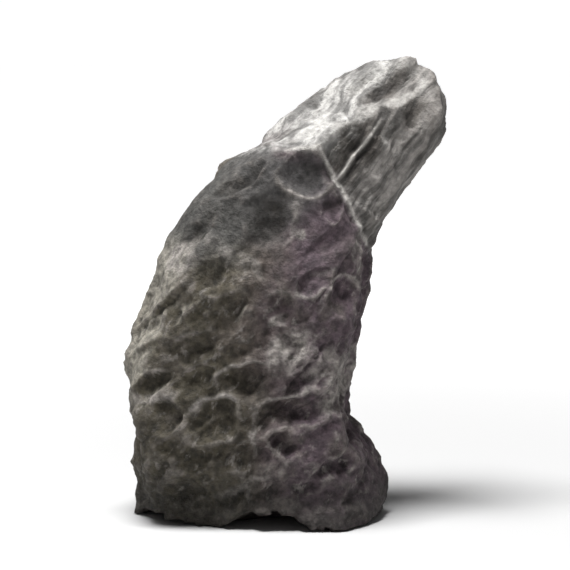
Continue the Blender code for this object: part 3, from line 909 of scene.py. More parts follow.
class NodeSheet:
    """The shader nodes of one material, with one short method for each kind that it uses."""

    def __init__(self, name: str) -> None:
        """Starts a material of this name, with its nodes on."""
        self.material = bpy.data.materials.new(name)
        self.material.use_nodes = True
        self.tree = self.material.node_tree
        self.shader = self.tree.nodes["Principled BSDF"]

    def put(self, socket: bpy.types.NodeSocket, value: object) -> None:
        """Links a socket to another one, or sets it to a number or colour.

        Args:
            socket: The input that gets the value.
            value: An output socket, a number or a colour.
        """
        if isinstance(value, bpy.types.NodeSocket):
            self.tree.links.new(value, socket)
        elif isinstance(value, tuple) and socket.type == "RGBA":
            socket.default_value = (*value, 1.0)
        else:
            socket.default_value = value

    def place(self) -> bpy.types.NodeSocket:
        """The point's place on the object."""
        return self.tree.nodes.new("ShaderNodeTexCoord").outputs["Object"]

    def attribute(self, name: str, vector: bool = False) -> bpy.types.NodeSocket:
        """An attribute of the mesh, as a number or as a vector."""
        node = self.tree.nodes.new("ShaderNodeAttribute")
        node.attribute_name = name
        return node.outputs["Vector" if vector else "Fac"]

    def scaled(self, vector: bpy.types.NodeSocket, scale: Point) -> bpy.types.NodeSocket:
        """A vector times a scale for each axis."""
        node = self.tree.nodes.new("ShaderNodeMapping")
        self.put(node.inputs["Vector"], vector)
        node.inputs["Scale"].default_value = scale
        return node.outputs["Vector"]

    def split(self, vector: bpy.types.NodeSocket) -> bpy.types.bpy_prop_collection:
        """A vector's outputs X, Y and Z."""
        node = self.tree.nodes.new("ShaderNodeSeparateXYZ")
        self.put(node.inputs["Vector"], vector)
        return node.outputs

    def noise(self, vector: bpy.types.NodeSocket, cloud: Cloud) -> bpy.types.NodeSocket:
        """Cloudy noise from 0 to 1, read at a vector."""
        node = self.tree.nodes.new("ShaderNodeTexNoise")
        self.put(node.inputs["Vector"], vector)
        node.inputs["Scale"].default_value = cloud.scale
        node.inputs["Detail"].default_value = cloud.detail
        node.inputs["Roughness"].default_value = cloud.rough
        return node.outputs["Fac"]

    def sum(self, operation: Operation, first: object, second: object) -> bpy.types.NodeSocket:
        """One sum of two numbers."""
        node = self.tree.nodes.new("ShaderNodeMath")
        node.operation = operation.value
        self.put(node.inputs[0], first)
        self.put(node.inputs[1], second)
        return node.outputs["Value"]

    def times(self, first: object, second: object) -> bpy.types.NodeSocket:
        """The product of two numbers."""
        return self.sum(Operation.MULTIPLY, first, second)

    def span(self, value: object, curve: Curve) -> bpy.types.NodeSocket:
        """An S curve of a number."""
        node = self.tree.nodes.new("ShaderNodeMapRange")
        node.interpolation_type = "SMOOTHSTEP"
        self.put(node.inputs["Value"], value)
        node.inputs["From Min"].default_value = curve.low
        node.inputs["From Max"].default_value = curve.high
        node.inputs["To Min"].default_value = curve.least
        node.inputs["To Max"].default_value = curve.most
        return node.outputs["Result"]

    def clouds(self, vector: bpy.types.NodeSocket, cloud: Cloud, curve: Curve) -> bpy.types.NodeSocket:
        """An S curve of a noise."""
        return self.span(self.noise(vector, cloud), curve)

    def mix(
        self, share: object, first: object, second: object, blend: Blend = Blend.MIX
    ) -> bpy.types.NodeSocket:
        """Two colours mixed.

        Args:
            share: How much of the second there is.
            first: The first colour.
            second: The second colour.
            blend: How they are mixed.

        Returns:
            The mixed colour.
        """
        node = self.tree.nodes.new("ShaderNodeMix")
        node.data_type = "RGBA"
        node.blend_type = blend.value
        self.put(node.inputs["Factor"], share)
        self.put(node.inputs[6], first)
        self.put(node.inputs[7], second)
        return node.outputs[2]

    def tinted(self, colour: object, value: bpy.types.NodeSocket) -> bpy.types.NodeSocket:
        """A colour times a number."""
        node = self.tree.nodes.new("ShaderNodeCombineColor")
        for channel in ("Red", "Green", "Blue"):
            self.put(node.inputs[channel], value)
        return self.mix(1.0, colour, node.outputs["Color"], Blend.MULTIPLY)

    def bump(
        self, height: bpy.types.NodeSocket, distance: float, under: object = None
    ) -> bpy.types.NodeSocket:
        """A bumped normal.

        Args:
            height: The height, in units of distance.
            distance: How far a height of 1 stands out, in metres.
            under: The bumped normal below this one.

        Returns:
            The normal.
        """
        node = self.tree.nodes.new("ShaderNodeBump")
        node.inputs["Strength"].default_value = 1.0
        node.inputs["Distance"].default_value = distance
        self.put(node.inputs["Height"], height)
        if under is not None:
            self.put(node.inputs["Normal"], under)
        return node.outputs["Normal"]


@dataclass(frozen=True)
class LimestoneFinish:
    """Weathered dark limestone: its colours, its clouds, and what each S curve gives.

    Places are in metres. The attributes scoop, bend and swell are in millimetres, and the
    others are shares.
    """

    slate: Colour = (0.066, 0.065, 0.063)
    olive: Colour = (0.070, 0.061, 0.043)
    plum: Colour = (0.080, 0.058, 0.068)
    ash: Colour = (0.20, 0.181, 0.166)
    # pale for crusts and flecks, and for the painted highlight on the hollows' rims
    pale_and_rim_highlight: Colour = (0.26, 0.24, 0.222)
    # the flank's pale: partly a paler tone, partly painted light
    flank_pale_and_lit: Colour = (0.29, 0.272, 0.232)
    dust: Colour = (0.13, 0.115, 0.099)
    chalk: Colour = (0.35, 0.341, 0.327)
    # multiplies the darker patches: partly a stained tone, partly painted shade in hollows and grooves
    stain_and_shade: Colour = (0.36, 0.34, 0.32)
    stone_grey: Colour = (0.17, 0.160, 0.150)
    umber: Colour = (0.070, 0.062, 0.056)
    crust: Colour = (0.37, 0.357, 0.336)
    calcite: Colour = (0.48, 0.46, 0.43)
    # near-black for painted shade: in cracks and cups, in the calm area's hollows, and at the foot
    shade_black: Colour = (0.014, 0.013, 0.011)
    drift: Cloud = Cloud(26.0, 4.0)
    drift_reach: float = 0.05
    olive_to_plum: Curve = Curve(0.002, 0.040)
    slate_lean: float = -0.6
    slate_rise: Curve = Curve(0.090, 0.104, 0.0, 0.85)
    # painted shade in the calm area's hollows, by the hollows' depth
    calm_hollow_shade: Curve = Curve(1.2, 4.4, 0.0, 0.25)
    dust_clouds: Cloud = Cloud(80.0, 4.0, 0.58)
    dusty: Curve = Curve(0.48, 0.70, 0.0, 0.55)
    dust_off_calm: Curve = Curve(0.0, 1.0, 1.0, 0.3)
    streak_shape: Point = (1.0, 0.12, 0.35)
    streak_clouds: Cloud = Cloud(340.0, 3.0)
    streaks: Curve = Curve(0.38, 0.62, 0.50, 1.40)
    crest_band: Curve = Curve(0.070, 0.078)
    umber_clouds: Cloud = Cloud(70.0, 3.0)
    umber_patches: Curve = Curve(0.54, 0.66, 0.0, 0.55)
    # painted shade in the finger's hollows, by the hollows' depth
    finger_hollow_shade: Curve = Curve(0.3, 2.2, 0.0, 0.65)
    wear_clouds: Cloud = Cloud(130.0, 4.0, 0.6)
    wear_patches: Curve = Curve(0.36, 0.60, 0.15, 1.0)
    worn_edges: Curve = Curve(0.08, 0.40, 0.0, 0.55)
    worn_swells: Curve = Curve(0.25, 1.1, 0.0, 0.50)
    # painted shade: how far cracks and cups are darkened
    crack_shade: Curve = Curve(-0.06, -0.36, 0.0, 0.45)
    cup_shade: Curve = Curve(-0.15, -1.0, 0.0, 0.24)
    crust_clouds: Cloud = Cloud(210.0, 4.0, 0.6)
    crust_breaks: Curve = Curve(0.34, 0.60, 0.25, 1.0)
    # breaks up the darker patches, which are partly painted shade
    dark_patch_clouds: Cloud = Cloud(260.0, 3.0, 0.6)
    dark_patch_mottle: Curve = Curve(0.36, 0.58, 0.6, 1.0)
    fleck_shape: Point = (1.0, 0.5, 1.0)
    fleck_clouds: Cloud = Cloud(330.0, 3.0, 0.6)
    flecks: Curve = Curve(0.54, 0.70, 0.0, 0.60)
    fleck_patches: Curve = Curve(0.2, 0.9, 0.15, 1.0)
    fleck_areas: Curve = Curve(0.0, 0.8, 1.0, 0.1)
    # painted shade at the foot: its wandering border, and how dark it gets below about 40 mm
    foot_shade_clouds: Cloud = Cloud(60.0, 3.0)
    foot_shade_stray: float = 0.016
    foot_shade: Curve = Curve(0.040, 0.013, 0.0, 0.65)
    vein_clouds: Cloud = Cloud(320.0, 3.0)
    vein_breaks: Curve = Curve(0.30, 0.60, 0.6, 1.0)
    grain_clouds: Cloud = Cloud(380.0, 4.0, 0.6)
    grain_tone: Curve = Curve(0.32, 0.68, 0.62, 1.40)
    grain_off_finger: Curve = Curve(0.0, 1.0, 1.0, 0.5)
    gloss_clouds: Cloud = Cloud(240.0, 4.0)
    roughness: Curve = Curve(0.35, 0.65, 0.72, 0.92)
    specular: float = 0.35
    pit_clouds: Cloud = Cloud(330.0, 6.0, 0.62)
    pit_height: float = 0.0017
    sand_clouds: Cloud = Cloud(1500.0, 3.0, 0.6)
    sand_height: float = 0.00025

    def body_colour(self, sheet: NodeSheet, place: bpy.types.NodeSocket) -> bpy.types.NodeSocket:
        """Olive at the left, plum at the right, slate on the calm area with painted shade in its
        hollows, dusty in clouds.

        Args:
            sheet: The material's nodes.
            place: The place on the object.

        Returns:
            The colour.
        """
        axes = sheet.split(place)
        drift = sheet.times(sheet.noise(place, self.drift), self.drift_reach)
        sideways = sheet.sum(Operation.ADD, axes["X"], drift)
        colour = sheet.mix(sheet.span(sideways, self.olive_to_plum), self.olive, self.plum)
        calm = sheet.attribute("calm")
        upward = sheet.sum(Operation.ADD, axes["Z"], sheet.times(sideways, self.slate_lean))
        upper = sheet.times(calm, sheet.span(upward, self.slate_rise))
        colour = sheet.mix(upper, colour, self.slate)
        # painted shade: the calm area's hollows are darkened towards near-black
        hollows = sheet.span(sheet.attribute("scoop"), self.calm_hollow_shade)
        colour = sheet.mix(sheet.times(calm, hollows), colour, self.shade_black)
        dusty = sheet.clouds(place, self.dust_clouds, self.dusty)
        dusty = sheet.times(dusty, sheet.span(calm, self.dust_off_calm))
        return sheet.mix(dusty, colour, self.dust)

    def finger_colour(self, sheet: NodeSheet) -> bpy.types.NodeSocket:
        """Grey, chalky at the crest, dark umber in patches, with painted shade in the hollows, streaked
        along the layers.

        Args:
            sheet: The material's nodes.

        Returns:
            The colour.
        """
        layers = sheet.attribute("layers", vector=True)
        crest = sheet.span(sheet.split(layers)["X"], self.crest_band)
        ground = sheet.mix(crest, self.stone_grey, self.chalk)
        patches = sheet.clouds(layers, self.umber_clouds, self.umber_patches)
        ground = sheet.mix(patches, ground, self.umber)
        # painted shade: the finger's hollows are darkened to umber
        hollows = sheet.span(sheet.attribute("scoop"), self.finger_hollow_shade)
        ground = sheet.mix(hollows, ground, self.umber)
        streaks = sheet.clouds(sheet.scaled(layers, self.streak_shape), self.streak_clouds, self.streaks)
        return sheet.tinted(ground, streaks)

    def worn(
        self, sheet: NodeSheet, colour: bpy.types.NodeSocket, wear: bpy.types.NodeSocket
    ) -> bpy.types.NodeSocket:
        """A colour worn pale on crests, here and there, and with painted shade in cracks and cups.

        Args:
            sheet: The material's nodes.
            colour: The colour before the wear.
            wear: Where the crests are worn.

        Returns:
            The colour, worn on crests and with painted shade in cracks and cups.
        """
        bend, swell = sheet.attribute("bend"), sheet.attribute("swell")
        edges, swells = sheet.span(bend, self.worn_edges), sheet.span(swell, self.worn_swells)
        crests = sheet.times(sheet.sum(Operation.MAXIMUM, edges, swells), wear)
        colour = sheet.mix(crests, colour, self.ash)
        # painted shade: cracks and cups are darkened towards near-black
        cracks, cups = sheet.span(bend, self.crack_shade), sheet.span(swell, self.cup_shade)
        return sheet.mix(sheet.sum(Operation.MAXIMUM, cracks, cups), colour, self.shade_black)

    def fleck_share(self, sheet: NodeSheet, wear: bpy.types.NodeSocket) -> bpy.types.NodeSocket:
        """Fine pale flecks drawn out along the layers, few on the finger and the calm area.

        Args:
            sheet: The material's nodes.
            wear: Where the crests are worn, and the flecks are thickest.

        Returns:
            How much of each point is fleck.
        """
        stretched = sheet.scaled(sheet.attribute("layers", vector=True), self.fleck_shape)
        flecks = sheet.clouds(stretched, self.fleck_clouds, self.flecks)
        flecks = sheet.times(flecks, sheet.span(wear, self.fleck_patches))
        areas = sheet.sum(Operation.ADD, sheet.attribute("finger"), sheet.attribute("calm"))
        return sheet.times(flecks, sheet.span(areas, self.fleck_areas))

    def marked(
        self, sheet: NodeSheet, place: bpy.types.NodeSocket, colour: bpy.types.NodeSocket
    ) -> bpy.types.NodeSocket:
        """A colour with its wear, its darker patches (partly stained, partly painted shade), the painted
        pale highlight on the hollows' rims, and its pale crusts and flecks.

        Args:
            sheet: The material's nodes.
            place: The place on the object.
            colour: The colour before them.

        Returns:
            The marked colour.
        """
        wear = sheet.clouds(place, self.wear_clouds, self.wear_patches)
        colour = self.worn(sheet, colour, wear)
        # darker patches: partly stained tone, partly painted shade in the hollows and grooves
        mottle = sheet.clouds(place, self.dark_patch_clouds, self.dark_patch_mottle)
        stains_and_shades = sheet.times(sheet.attribute("stain_and_shade"), mottle)
        colour = sheet.mix(stains_and_shades, colour, self.stain_and_shade, Blend.MULTIPLY)
        # painted highlight: the rims, with the crusts, are made pale
        rims = sheet.sum(Operation.MAXIMUM, sheet.attribute("rim"), sheet.attribute("crust"))
        rims = sheet.times(rims, sheet.clouds(place, self.crust_clouds, self.crust_breaks))
        marks = sheet.sum(Operation.MAXIMUM, rims, self.fleck_share(sheet, wear))
        pale = sheet.mix(sheet.attribute("finger"), self.pale_and_rim_highlight, self.crust)
        return sheet.mix(marks, colour, pale)

    def colour(self, sheet: NodeSheet, place: bpy.types.NodeSocket) -> bpy.types.NodeSocket:
        """The whole stone's colour: body, flank (partly painted light), finger, marks, painted shade at
        the foot, veins and grain.

        Args:
            sheet: The material's nodes.
            place: The place on the object.

        Returns:
            The colour.
        """
        finger = sheet.attribute("finger")
        colour = self.body_colour(sheet, place)
        # partly painted light: paler where the surface faces up and to the left
        colour = sheet.mix(sheet.attribute("flank"), colour, self.flank_pale_and_lit)
        colour = sheet.mix(finger, colour, self.finger_colour(sheet))
        colour = self.marked(sheet, place, colour)
        # painted shade: darker towards the bottom, below about 40 mm, with a wandering border
        stray = sheet.times(sheet.noise(place, self.foot_shade_clouds), self.foot_shade_stray)
        rise = sheet.sum(Operation.ADD, sheet.split(place)["Z"], stray)
        colour = sheet.mix(sheet.span(rise, self.foot_shade), colour, self.shade_black)
        breaks = sheet.clouds(place, self.vein_clouds, self.vein_breaks)
        colour = sheet.mix(sheet.times(sheet.attribute("vein"), breaks), colour, self.calcite)
        grain = sheet.tinted(colour, sheet.clouds(place, self.grain_clouds, self.grain_tone))
        return sheet.mix(sheet.span(finger, self.grain_off_finger), colour, grain)

    def build(self) -> bpy.types.Material:
        """The limestone material, with its roughness, pits and sandy grain from nodes."""
        sheet = NodeSheet("weathered limestone")
        place = sheet.place()
        sheet.put(sheet.shader.inputs["Base Color"], self.colour(sheet, place))
        gloss = sheet.clouds(place, self.gloss_clouds, self.roughness)
        sheet.put(sheet.shader.inputs["Roughness"], gloss)
        sheet.shader.inputs["Specular IOR Level"].default_value = self.specular
        pits = sheet.bump(sheet.noise(place, self.pit_clouds), self.pit_height)
        sand = sheet.bump(sheet.noise(place, self.sand_clouds), self.sand_height, pits)
        sheet.put(sheet.shader.inputs["Normal"], sand)
        return sheet.material


@dataclass(frozen=True)
class Patches:
    """Listed patches of another tone on the front: pale crusts, and darker patches that are partly
    stained and partly painted shade in the hollows and grooves.

    Each has its middle's X and Z, its half length, its half width, the angle that its length
    rises at, and its strength.
    """

    crusts: tuple[Patch, ...] = (
        (24.0, 150.5, 9.0, 1.8, 38, 0.55),
        (37.0, 158.5, 9.0, 2.2, 28, 0.75),
        (50.0, 163.0, 7.0, 2.0, 12, 0.8),
        (60.0, 168.5, 6.0, 2.4, 50, 0.85),
        (56.0, 174.5, 8.0, 3.0, -25, 0.9),
        (38.0, 171.5, 15.0, 2.6, 36, 0.7),
        (45.5, 150.0, 6.0, 1.2, 86, 0.4),
        (-14.0, 104.0, 15.0, 3.0, -35, 0.55),
        (-35.0, 102.0, 8.0, 4.5, 45, 0.9),
        (12.0, 112.0, 3.0, 2.0, 80, 0.8),
        (2.5, 80.0, 3.5, 2.4, 20, 0.9),
        (8.0, 69.0, 12.0, 7.0, 40, 0.95),
        (28.0, 56.0, 15.0, 6.5, 58, 1.0),
        (22.0, 63.0, 9.0, 4.0, 40, 0.8),
        (-46.0, 49.5, 12.0, 2.2, 18, 0.8),
        (-6.5, 38.0, 9.0, 1.6, 88, 0.7),
        (-7.0, 18.5, 20.0, 1.8, 26, 0.6),
        (36.0, 104.0, 8.0, 1.8, 95, 0.8),
        (38.0, 33.0, 8.0, 1.8, -52, 0.6),
    )
    # darker patches, mostly over hollows and grooves: partly stained tone, partly painted shade
    stains_and_shades: tuple[Patch, ...] = (
        (31.5, 147.5, 13.0, 7.2, 50, 1.0),
        (25.0, 140.0, 9.0, 5.6, 60, 1.0),
        (39.5, 144.0, 16.0, 3.6, 55, 0.9),
        (55.5, 158.5, 8.0, 5.5, 60, 0.8),
        (44.0, 167.0, 14.0, 2.8, 33, 0.7),
        (15.5, 139.0, 6.0, 2.2, 0, 0.5),
        (-2.0, 117.5, 8.5, 7.0, 70, 1.0),
        (24.0, 122.5, 6.0, 3.0, 15, 0.7),
        (-12.0, 131.5, 13.0, 3.0, 32, 0.8),
        (-28.5, 112.0, 11.0, 3.0, 45, 0.8),
        (-45.0, 58.5, 10.0, 3.0, 30, 0.7),
        (-32.0, 72.0, 13.0, 5.5, 25, 0.5),
        (-13.0, 57.0, 8.0, 5.5, 8, 0.5),
        (6.0, 48.5, 13.0, 1.8, 14, 0.7),
        (5.5, 33.5, 6.0, 5.0, 5, 0.5),
        (-45.0, 38.0, 12.0, 8.0, 20, 0.5),
        (-26.0, 40.0, 28.0, 18.0, 12, 0.4),
        (8.0, 92.0, 17.0, 9.0, 15, 0.25),
        (-30.0, 84.0, 13.0, 8.0, 55, 0.3),
        (17.0, 84.0, 14.0, 7.0, 50, 0.4),
    )
    wander: Span = (6.0, 2.2)
    fade: Span = (1.25, 0.6)
    front: Span = (6.0, -4.0)

    def share(self, points: Array, patches: tuple[Patch, ...]) -> Array:
        """How much of each point is under a patch.

        Args:
            points: Places on the form.
            patches: The crusts or the stains.

        Returns:
            The largest, over the patches, of its strength times an S curve of the distance
            from its middle, in its own half lengths, on the front alone.
        """
        length, size = self.wander
        moved = points + size * LATTICE.vector(points / length, Seed.PATCH)
        total = np.zeros(len(points))
        for x, z, half_length, half_width, angle, strength in patches:
            cosine, sine = math.cos(math.radians(angle)), math.sin(math.radians(angle))
            right, up = moved[:, 0] - x, moved[:, 2] - z
            along = (right * cosine + up * sine) / half_length
            across = (up * cosine - right * sine) / half_width
            inside = smooth_step(*self.fade, np.hypot(along, across))
            total = np.maximum(total, strength * inside)
        return total * smooth_step(*self.front, points[:, 1])


@dataclass(frozen=True)
class Veins:
    """Two thin calcite veins: one along the slab's upper edge, one straight up the finger.

    A span is where a vein starts to show or stops. The straight one starts from its foot's X
    and Z and runs by its rise's.
    """

    width: float = 0.65
    height: float = 0.2
    wander: Span = (6.0, 0.6)
    front: Span = (0.0, -6.0)
    past_edge: float = 0.6
    edge_from_left: Span = (-2.0, 12.0)
    edge_from_below: Span = (102.0, 110.0)
    foot: Span = (27.0, 134.0)
    rise: Span = (0.61, 0.79)
    start: Span = (-3.0, 1.0)
    end: Span = (29.0, 25.0)

    def bell(self, distance: Array) -> Array:
        """1 on a vein's middle, and less with the square of the distance from it."""
        return np.exp(-((distance / self.width) ** 2))

    def share(self, points: Array) -> Array:
        """How much each point is on a vein.

        Args:
            points: Places on the form.

        Returns:
            The larger, over the two veins, of a bell of the distance from the vein's plane,
            by how far along the vein's stretch the point is.
        """
        length, size = self.wander
        wander = size * LATTICE.noise(points / length, Seed.VEIN)
        edge = self.bell(AREAS.past_ledge(points) - self.past_edge + wander)
        edge = edge * smooth_step(*self.edge_from_left, points[:, 0])
        edge = edge * smooth_step(*self.edge_from_below, points[:, 2])
        right, up = points[:, 0] - self.foot[0], points[:, 2] - self.foot[1]
        along = right * self.rise[0] + up * self.rise[1]
        straight = self.bell(right * self.rise[1] - up * self.rise[0] + wander)
        straight = straight * smooth_step(*self.start, along) * smooth_step(*self.end, along)
        return np.maximum(edge, straight) * smooth_step(*self.front, points[:, 1])


@dataclass(frozen=True)
class Flank:
    """The pale flank at the left, where the stone faces up and to the left: partly a paler weathered
    tone, partly painted light on the side that faces the light.
    """

    facing: Span = (0.56, 0.84)
    upward: float = 0.3
    lower: Span = (40.0, 56.0)
    upper: Span = (114.0, 100.0)
    front: Span = (22.0, 4.0)
    patches: Span = (0.72, 0.28)
    patch_length: float = 9.0

    def share(self, facing: Array, points: Array) -> Array:
        """How much each point is on the flank.

        Args:
            facing: The way that the surface broadly faces there.
            points: Places on the stone.

        Returns:
            How far it faces that way, by its height, by how far forward it is, in patches.
        """
        left = smooth_step(*self.facing, self.upward * facing[:, 2] - facing[:, 0])
        band = smooth_step(*self.lower, points[:, 2]) * smooth_step(*self.upper, points[:, 2])
        patchy = grown(self.patches, LATTICE.noise(points / self.patch_length, Seed.FLANK))
        return left * band * smooth_step(*self.front, points[:, 1]) * patchy


@dataclass
class Stone:
    """The stone: one closed surface on a grid of turns round its spine and rises up it."""

    finish: LimestoneFinish = field(default_factory=LimestoneFinish)
    form: Form = field(default_factory=Form)
    underside: Underside = field(default_factory=Underside)
    patches: Patches = field(default_factory=Patches)
    veins: Veins = field(default_factory=Veins)
    flank: Flank = field(default_factory=Flank)
    columns: int = 330
    rows: int = 300
    quick_share: float = 0.5
    bend_smoothing: int = 6
    swell_smoothing: int = 30

    def grid(self) -> tuple[int, int]:
        """How many columns and inner rows the surface has."""
        share = 1.0
        return int(self.columns * share), int(self.rows * share)

    def surface(self) -> tuple[Array, dict[str, Array]]:
        """The stone's surface.

        Returns:
            The places of the bottom pole, the rows and the top pole, in millimetres, and
            what each point of the form is: its hollows, areas, patches, veins and layers.
        """
        columns, rows = self.grid()
        turns = np.linspace(-math.pi, math.pi, columns, endpoint=False)
        rises = np.linspace(0, 1, rows + 2)[1:-1]
        turns, rises = np.meshgrid(turns, rises)
        turns = np.concatenate([[0.0], turns.ravel(), [0.0]])
        rises = np.concatenate([[0.0], rises.ravel(), [1.0]])
        formed, rays = self.form.cast(turns, rises)
        carved, masks = Carving(self.form).carve(formed, rays)
        veins = self.veins.share(formed)
        carved = carved + rays * (self.veins.height * veins)[:, None]
        places = self.underside.stop(self.form.spine_at(rises), carved)
        masks["finger"] = AREAS.finger_tone(formed)
        masks["calm"] = AREAS.calm_tone(formed)
        masks["crust"] = self.patches.share(formed, self.patches.crusts)
        # darker patches: partly stained tone, partly painted shade
        masks["stain_and_shade"] = self.patches.share(formed, self.patches.stains_and_shades)
        masks["vein"] = veins
        along, beside = formed @ np.array(LAYERS.run), formed[:, 1]
        masks["layers"] = np.stack([LAYERS.across(formed), along, beside], axis=1) * METRES
        return places, masks

    def smoothed(self, values: Array, times: int) -> Array:
        """Each value of the grid mixed with its neighbours' a number of times."""
        columns, rows = self.grid()
        grid = values[1:-1].reshape(rows, columns, -1)
        for _ in range(times):
            above = np.concatenate([grid[:1], grid[:-1]])
            below = np.concatenate([grid[1:], grid[-1:]])
            grid = (2 * grid + above + below + np.roll(grid, 1, 1) + np.roll(grid, -1, 1)) / 6
        return np.concatenate([values[:1], grid.reshape(rows * columns, -1), values[-1:]])

    def faces(self) -> list[tuple[int, ...]]:
        """Squares between the rows, and a fan of triangles round each pole."""
        columns, rows = self.grid()
        around = np.arange(columns)
        after = np.roll(around, -1)
        starts = 1 + columns * np.arange(rows - 1)[:, None]
        squares = np.stack(
            [starts + around, starts + after, starts + columns + after, starts + columns + around],
            axis=-1,
        )
        last = 1 + columns * (rows - 1)
        bottom = np.stack([np.zeros_like(around), 1 + after, 1 + around], axis=1)
        top = np.stack([np.full_like(around, last + columns), last + around, last + after], axis=1)
        return [*squares.reshape(-1, 4).tolist(), *bottom.tolist(), *top.tolist()]

    def fitted(self, places: Array, box: tuple[Vector, Vector]) -> Array:
        """The places in metres, drawn on each axis to the solid's box."""
        low, high = places.min(axis=0), places.max(axis=0)
        box_low, box_high = np.array(box[0]), np.array(box[1])
        return box_low + (places - low) / (high - low) * (box_high - box_low)

    def bends(self, normals: Array, places: Array, times: int) -> Array:
        """How much the surface bends out at each point, in millimetres.

        Args:
            normals: The outward direction at each point.
            places: The points.
            times: How many times they are smoothed, and so how broad a bend counts.

        Returns:
            How far each point stands out from the smoothed surface: more than 0 on a crest,
            less than 0 in a cavity.
        """
        away = places - self.smoothed(places, times)
        return (away * normals).sum(axis=1) / METRES

    def write(self, mesh: bpy.types.Mesh, name: str, values: Array) -> None:
        """Stores one value or vector for each point, as an attribute of the mesh."""
        kind, key = ("FLOAT_VECTOR", "vector") if values.ndim == 2 else ("FLOAT", "value")
        layer = mesh.attributes.new(name, kind, "POINT")
        layer.data.foreach_set(key, values.ravel().astype(np.float32))

    def build(self, box: tuple[Vector, Vector]) -> bpy.types.Object:
        """The stone as one object.

        Args:
            box: The solid's lowest and highest corners, in metres.

        Returns:
            The dressed stone, which rides on the frame in the solid's place.
        """
        places, masks = self.surface()
        places = self.fitted(places, box)
        mesh = bpy.data.meshes.new("weathered_stone")
        mesh.from_pydata(places.tolist(), [], self.faces())
        mesh.shade_smooth()
        normals = np.zeros(len(places) * 3, np.float32)
        mesh.vertices.foreach_get("normal", normals)
        normals = normals.reshape(-1, 3).astype(float)
        masks["bend"] = self.bends(normals, places, self.bend_smoothing)
        masks["swell"] = self.bends(normals, places, self.swell_smoothing)
        facing = self.smoothed(normals, self.bend_smoothing)
        # the flank follows which way the surface faces: partly painted light
        masks["flank"] = self.flank.share(facing, places / METRES)
        for name, values in masks.items():
            self.write(mesh, name, values)
        mesh.materials.append(self.finish.build())
        stone = bpy.data.objects.new("weathered_stone", mesh)
        bpy.context.scene.collection.objects.link(stone)
        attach(stone, "root")
        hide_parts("stone")
        LOG.info("weathered_stone: %d points, %d faces", len(places), len(mesh.polygons))
        return stone


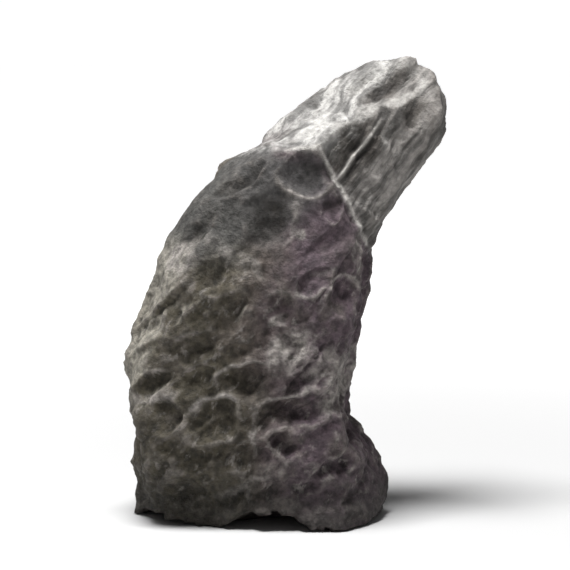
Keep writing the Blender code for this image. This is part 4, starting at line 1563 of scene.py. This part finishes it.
@dataclass
class Studio:
    """A round pale floor under a white dome, a soft box overhead, and the camera."""

    radius: float = 6.0
    sides: int = 96
    dome_rings: int = 25
    floor_colour: Colour = (0.60, 0.60, 0.60)
    floor_roughness: float = 0.95
    floor_specular: float = 0.1
    floor_glow: Curve = Curve(0.04, 0.80, 0.0, 0.93)
    dome_glow: float = 1.02
    world_strength: float = 0.12
    softbox_place: Point = (-0.10, -0.12, 0.85)
    softbox_aim: Point = (0.0, 0.0, 0.08)
    softbox_side: float = 0.30
    softbox_power: float = 12.5
    azimuth: float = 0.0
    elevation: float = 7.0
    lens: float = 150.0
    filled_share: float = 0.80
    sensor: float = 36.0

    def turned(self, name: str, radii: Array, heights: Array, finish: NodeSheet) -> bpy.types.Object:
        """A stage piece: a profile of radius and height that is turned about the middle.

        Args:
            name: The piece's name.
            radii: How far out each point of the profile is, starting on the axis.
            heights: How high each point is.
            finish: The piece's material.

        Returns:
            The piece, marked as stage.
        """
        turns = np.linspace(0, 2 * math.pi, self.sides, endpoint=False)
        x = radii[1:, None] * np.cos(turns)
        y = radii[1:, None] * np.sin(turns)
        z = np.broadcast_to(heights[1:, None], x.shape)
        places = np.stack([x.ravel(), y.ravel(), z.ravel()], axis=1)
        places = np.concatenate([[[0.0, 0.0, heights[0]]], places])
        around = np.arange(len(turns))
        after = np.roll(around, -1)
        starts = 1 + len(turns) * np.arange(len(radii) - 2)[:, None]
        out = starts + len(turns)
        rings = np.stack([starts + around, out + around, out + after, starts + after], axis=-1)
        middle = np.stack([np.zeros_like(around), 1 + around, 1 + after], axis=1)
        mesh = bpy.data.meshes.new(name)
        mesh.from_pydata(places.tolist(), [], [*middle.tolist(), *rings.reshape(-1, 4).tolist()])
        mesh.shade_smooth()
        mesh.materials.append(finish.material)
        piece = bpy.data.objects.new(name, mesh)
        bpy.context.scene.collection.objects.link(piece)
        piece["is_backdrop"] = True
        return piece

    def floor(self) -> bpy.types.Object:
        """The flat round floor, matt near the stone and glowing softly further out."""
        sheet = NodeSheet("matt white paper")
        shader = sheet.shader
        sheet.put(shader.inputs["Base Color"], self.floor_colour)
        shader.inputs["Roughness"].default_value = self.floor_roughness
        shader.inputs["Specular IOR Level"].default_value = self.floor_specular
        sheet.put(shader.inputs["Emission Color"], WHITE)
        away = sheet.tree.nodes.new("ShaderNodeVectorMath")
        away.operation = "LENGTH"
        sheet.put(away.inputs[0], sheet.place())
        sheet.put(shader.inputs["Emission Strength"], sheet.span(away.outputs["Value"], self.floor_glow))
        return self.turned("studio_floor", np.array([0.0, self.radius]), np.zeros(2), sheet)

    def dome(self) -> bpy.types.Object:
        """The white dome behind everything, a half circle turned, which lights nothing."""
        sheet = NodeSheet("white backdrop")
        sheet.put(sheet.shader.inputs["Base Color"], (0.0, 0.0, 0.0))
        sheet.shader.inputs["Specular IOR Level"].default_value = 0.0
        sheet.put(sheet.shader.inputs["Emission Color"], WHITE)
        sheet.shader.inputs["Emission Strength"].default_value = self.dome_glow
        rises = np.linspace(math.pi / 2, 0, self.dome_rings)
        dome = self.turned(
            "studio_dome", self.radius * np.cos(rises), self.radius * np.sin(rises), sheet
        )
        dome.visible_diffuse = dome.visible_glossy = dome.visible_shadow = False
        return dome

    def lights(self) -> None:
        """A square soft box overhead, and a little light from all round."""
        light = bpy.data.lights.new("overhead softbox", "AREA")
        light.size = self.softbox_side
        light.energy = self.softbox_power
        softbox = bpy.data.objects.new("overhead softbox", light)
        softbox.location = self.softbox_place
        down = Vector(self.softbox_aim) - Vector(self.softbox_place)
        softbox.rotation_euler = down.to_track_quat("-Z", "Y").to_euler()
        bpy.context.scene.collection.objects.link(softbox)
        world = bpy.data.worlds.new("studio air")
        world.use_nodes = True
        background = world.node_tree.nodes["Background"]
        background.inputs["Color"].default_value = (*WHITE, 1.0)
        background.inputs["Strength"].default_value = self.world_strength
        bpy.context.scene.world = world

    def camera(self, box: tuple[Vector, Vector]) -> None:
        """A long lens at the photograph's angle, near enough for the stone to fill the frame.

        Args:
            box: The solid's lowest and highest corners.
        """
        camera = bpy.data.cameras.new("camera")
        camera.lens = self.lens
        camera.sensor_width = self.sensor
        holder = bpy.data.objects.new("camera", camera)
        centre = (box[0] + box[1]) / 2
        height = box[1].z - box[0].z
        away = height / self.filled_share * self.lens / self.sensor
        turn, rise = math.radians(self.azimuth), math.radians(self.elevation)
        level = math.cos(rise)
        back = Vector((math.sin(turn) * level, -math.cos(turn) * level, math.sin(rise)))
        holder.location = centre + back * away
        holder.rotation_euler = (-back).to_track_quat("-Z", "Y").to_euler()
        bpy.context.scene.collection.objects.link(holder)
        bpy.context.scene.camera = holder

    def build(self, box: tuple[Vector, Vector]) -> None:
        """The whole studio round the solid's box."""
        self.floor()
        self.dome()
        self.lights()
        self.camera(box)
        bpy.context.scene.view_settings.view_transform = "Standard"
        LOG.info("studio: floor, dome, lights and the camera")


def main() -> None:
    """Builds the stone and the studio."""
    logging.basicConfig(level=logging.INFO, format="%(name)s: %(message)s")
    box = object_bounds()
    Stone().build(box)
    Studio().build(box)


if __name__ == "__main__":
    main()
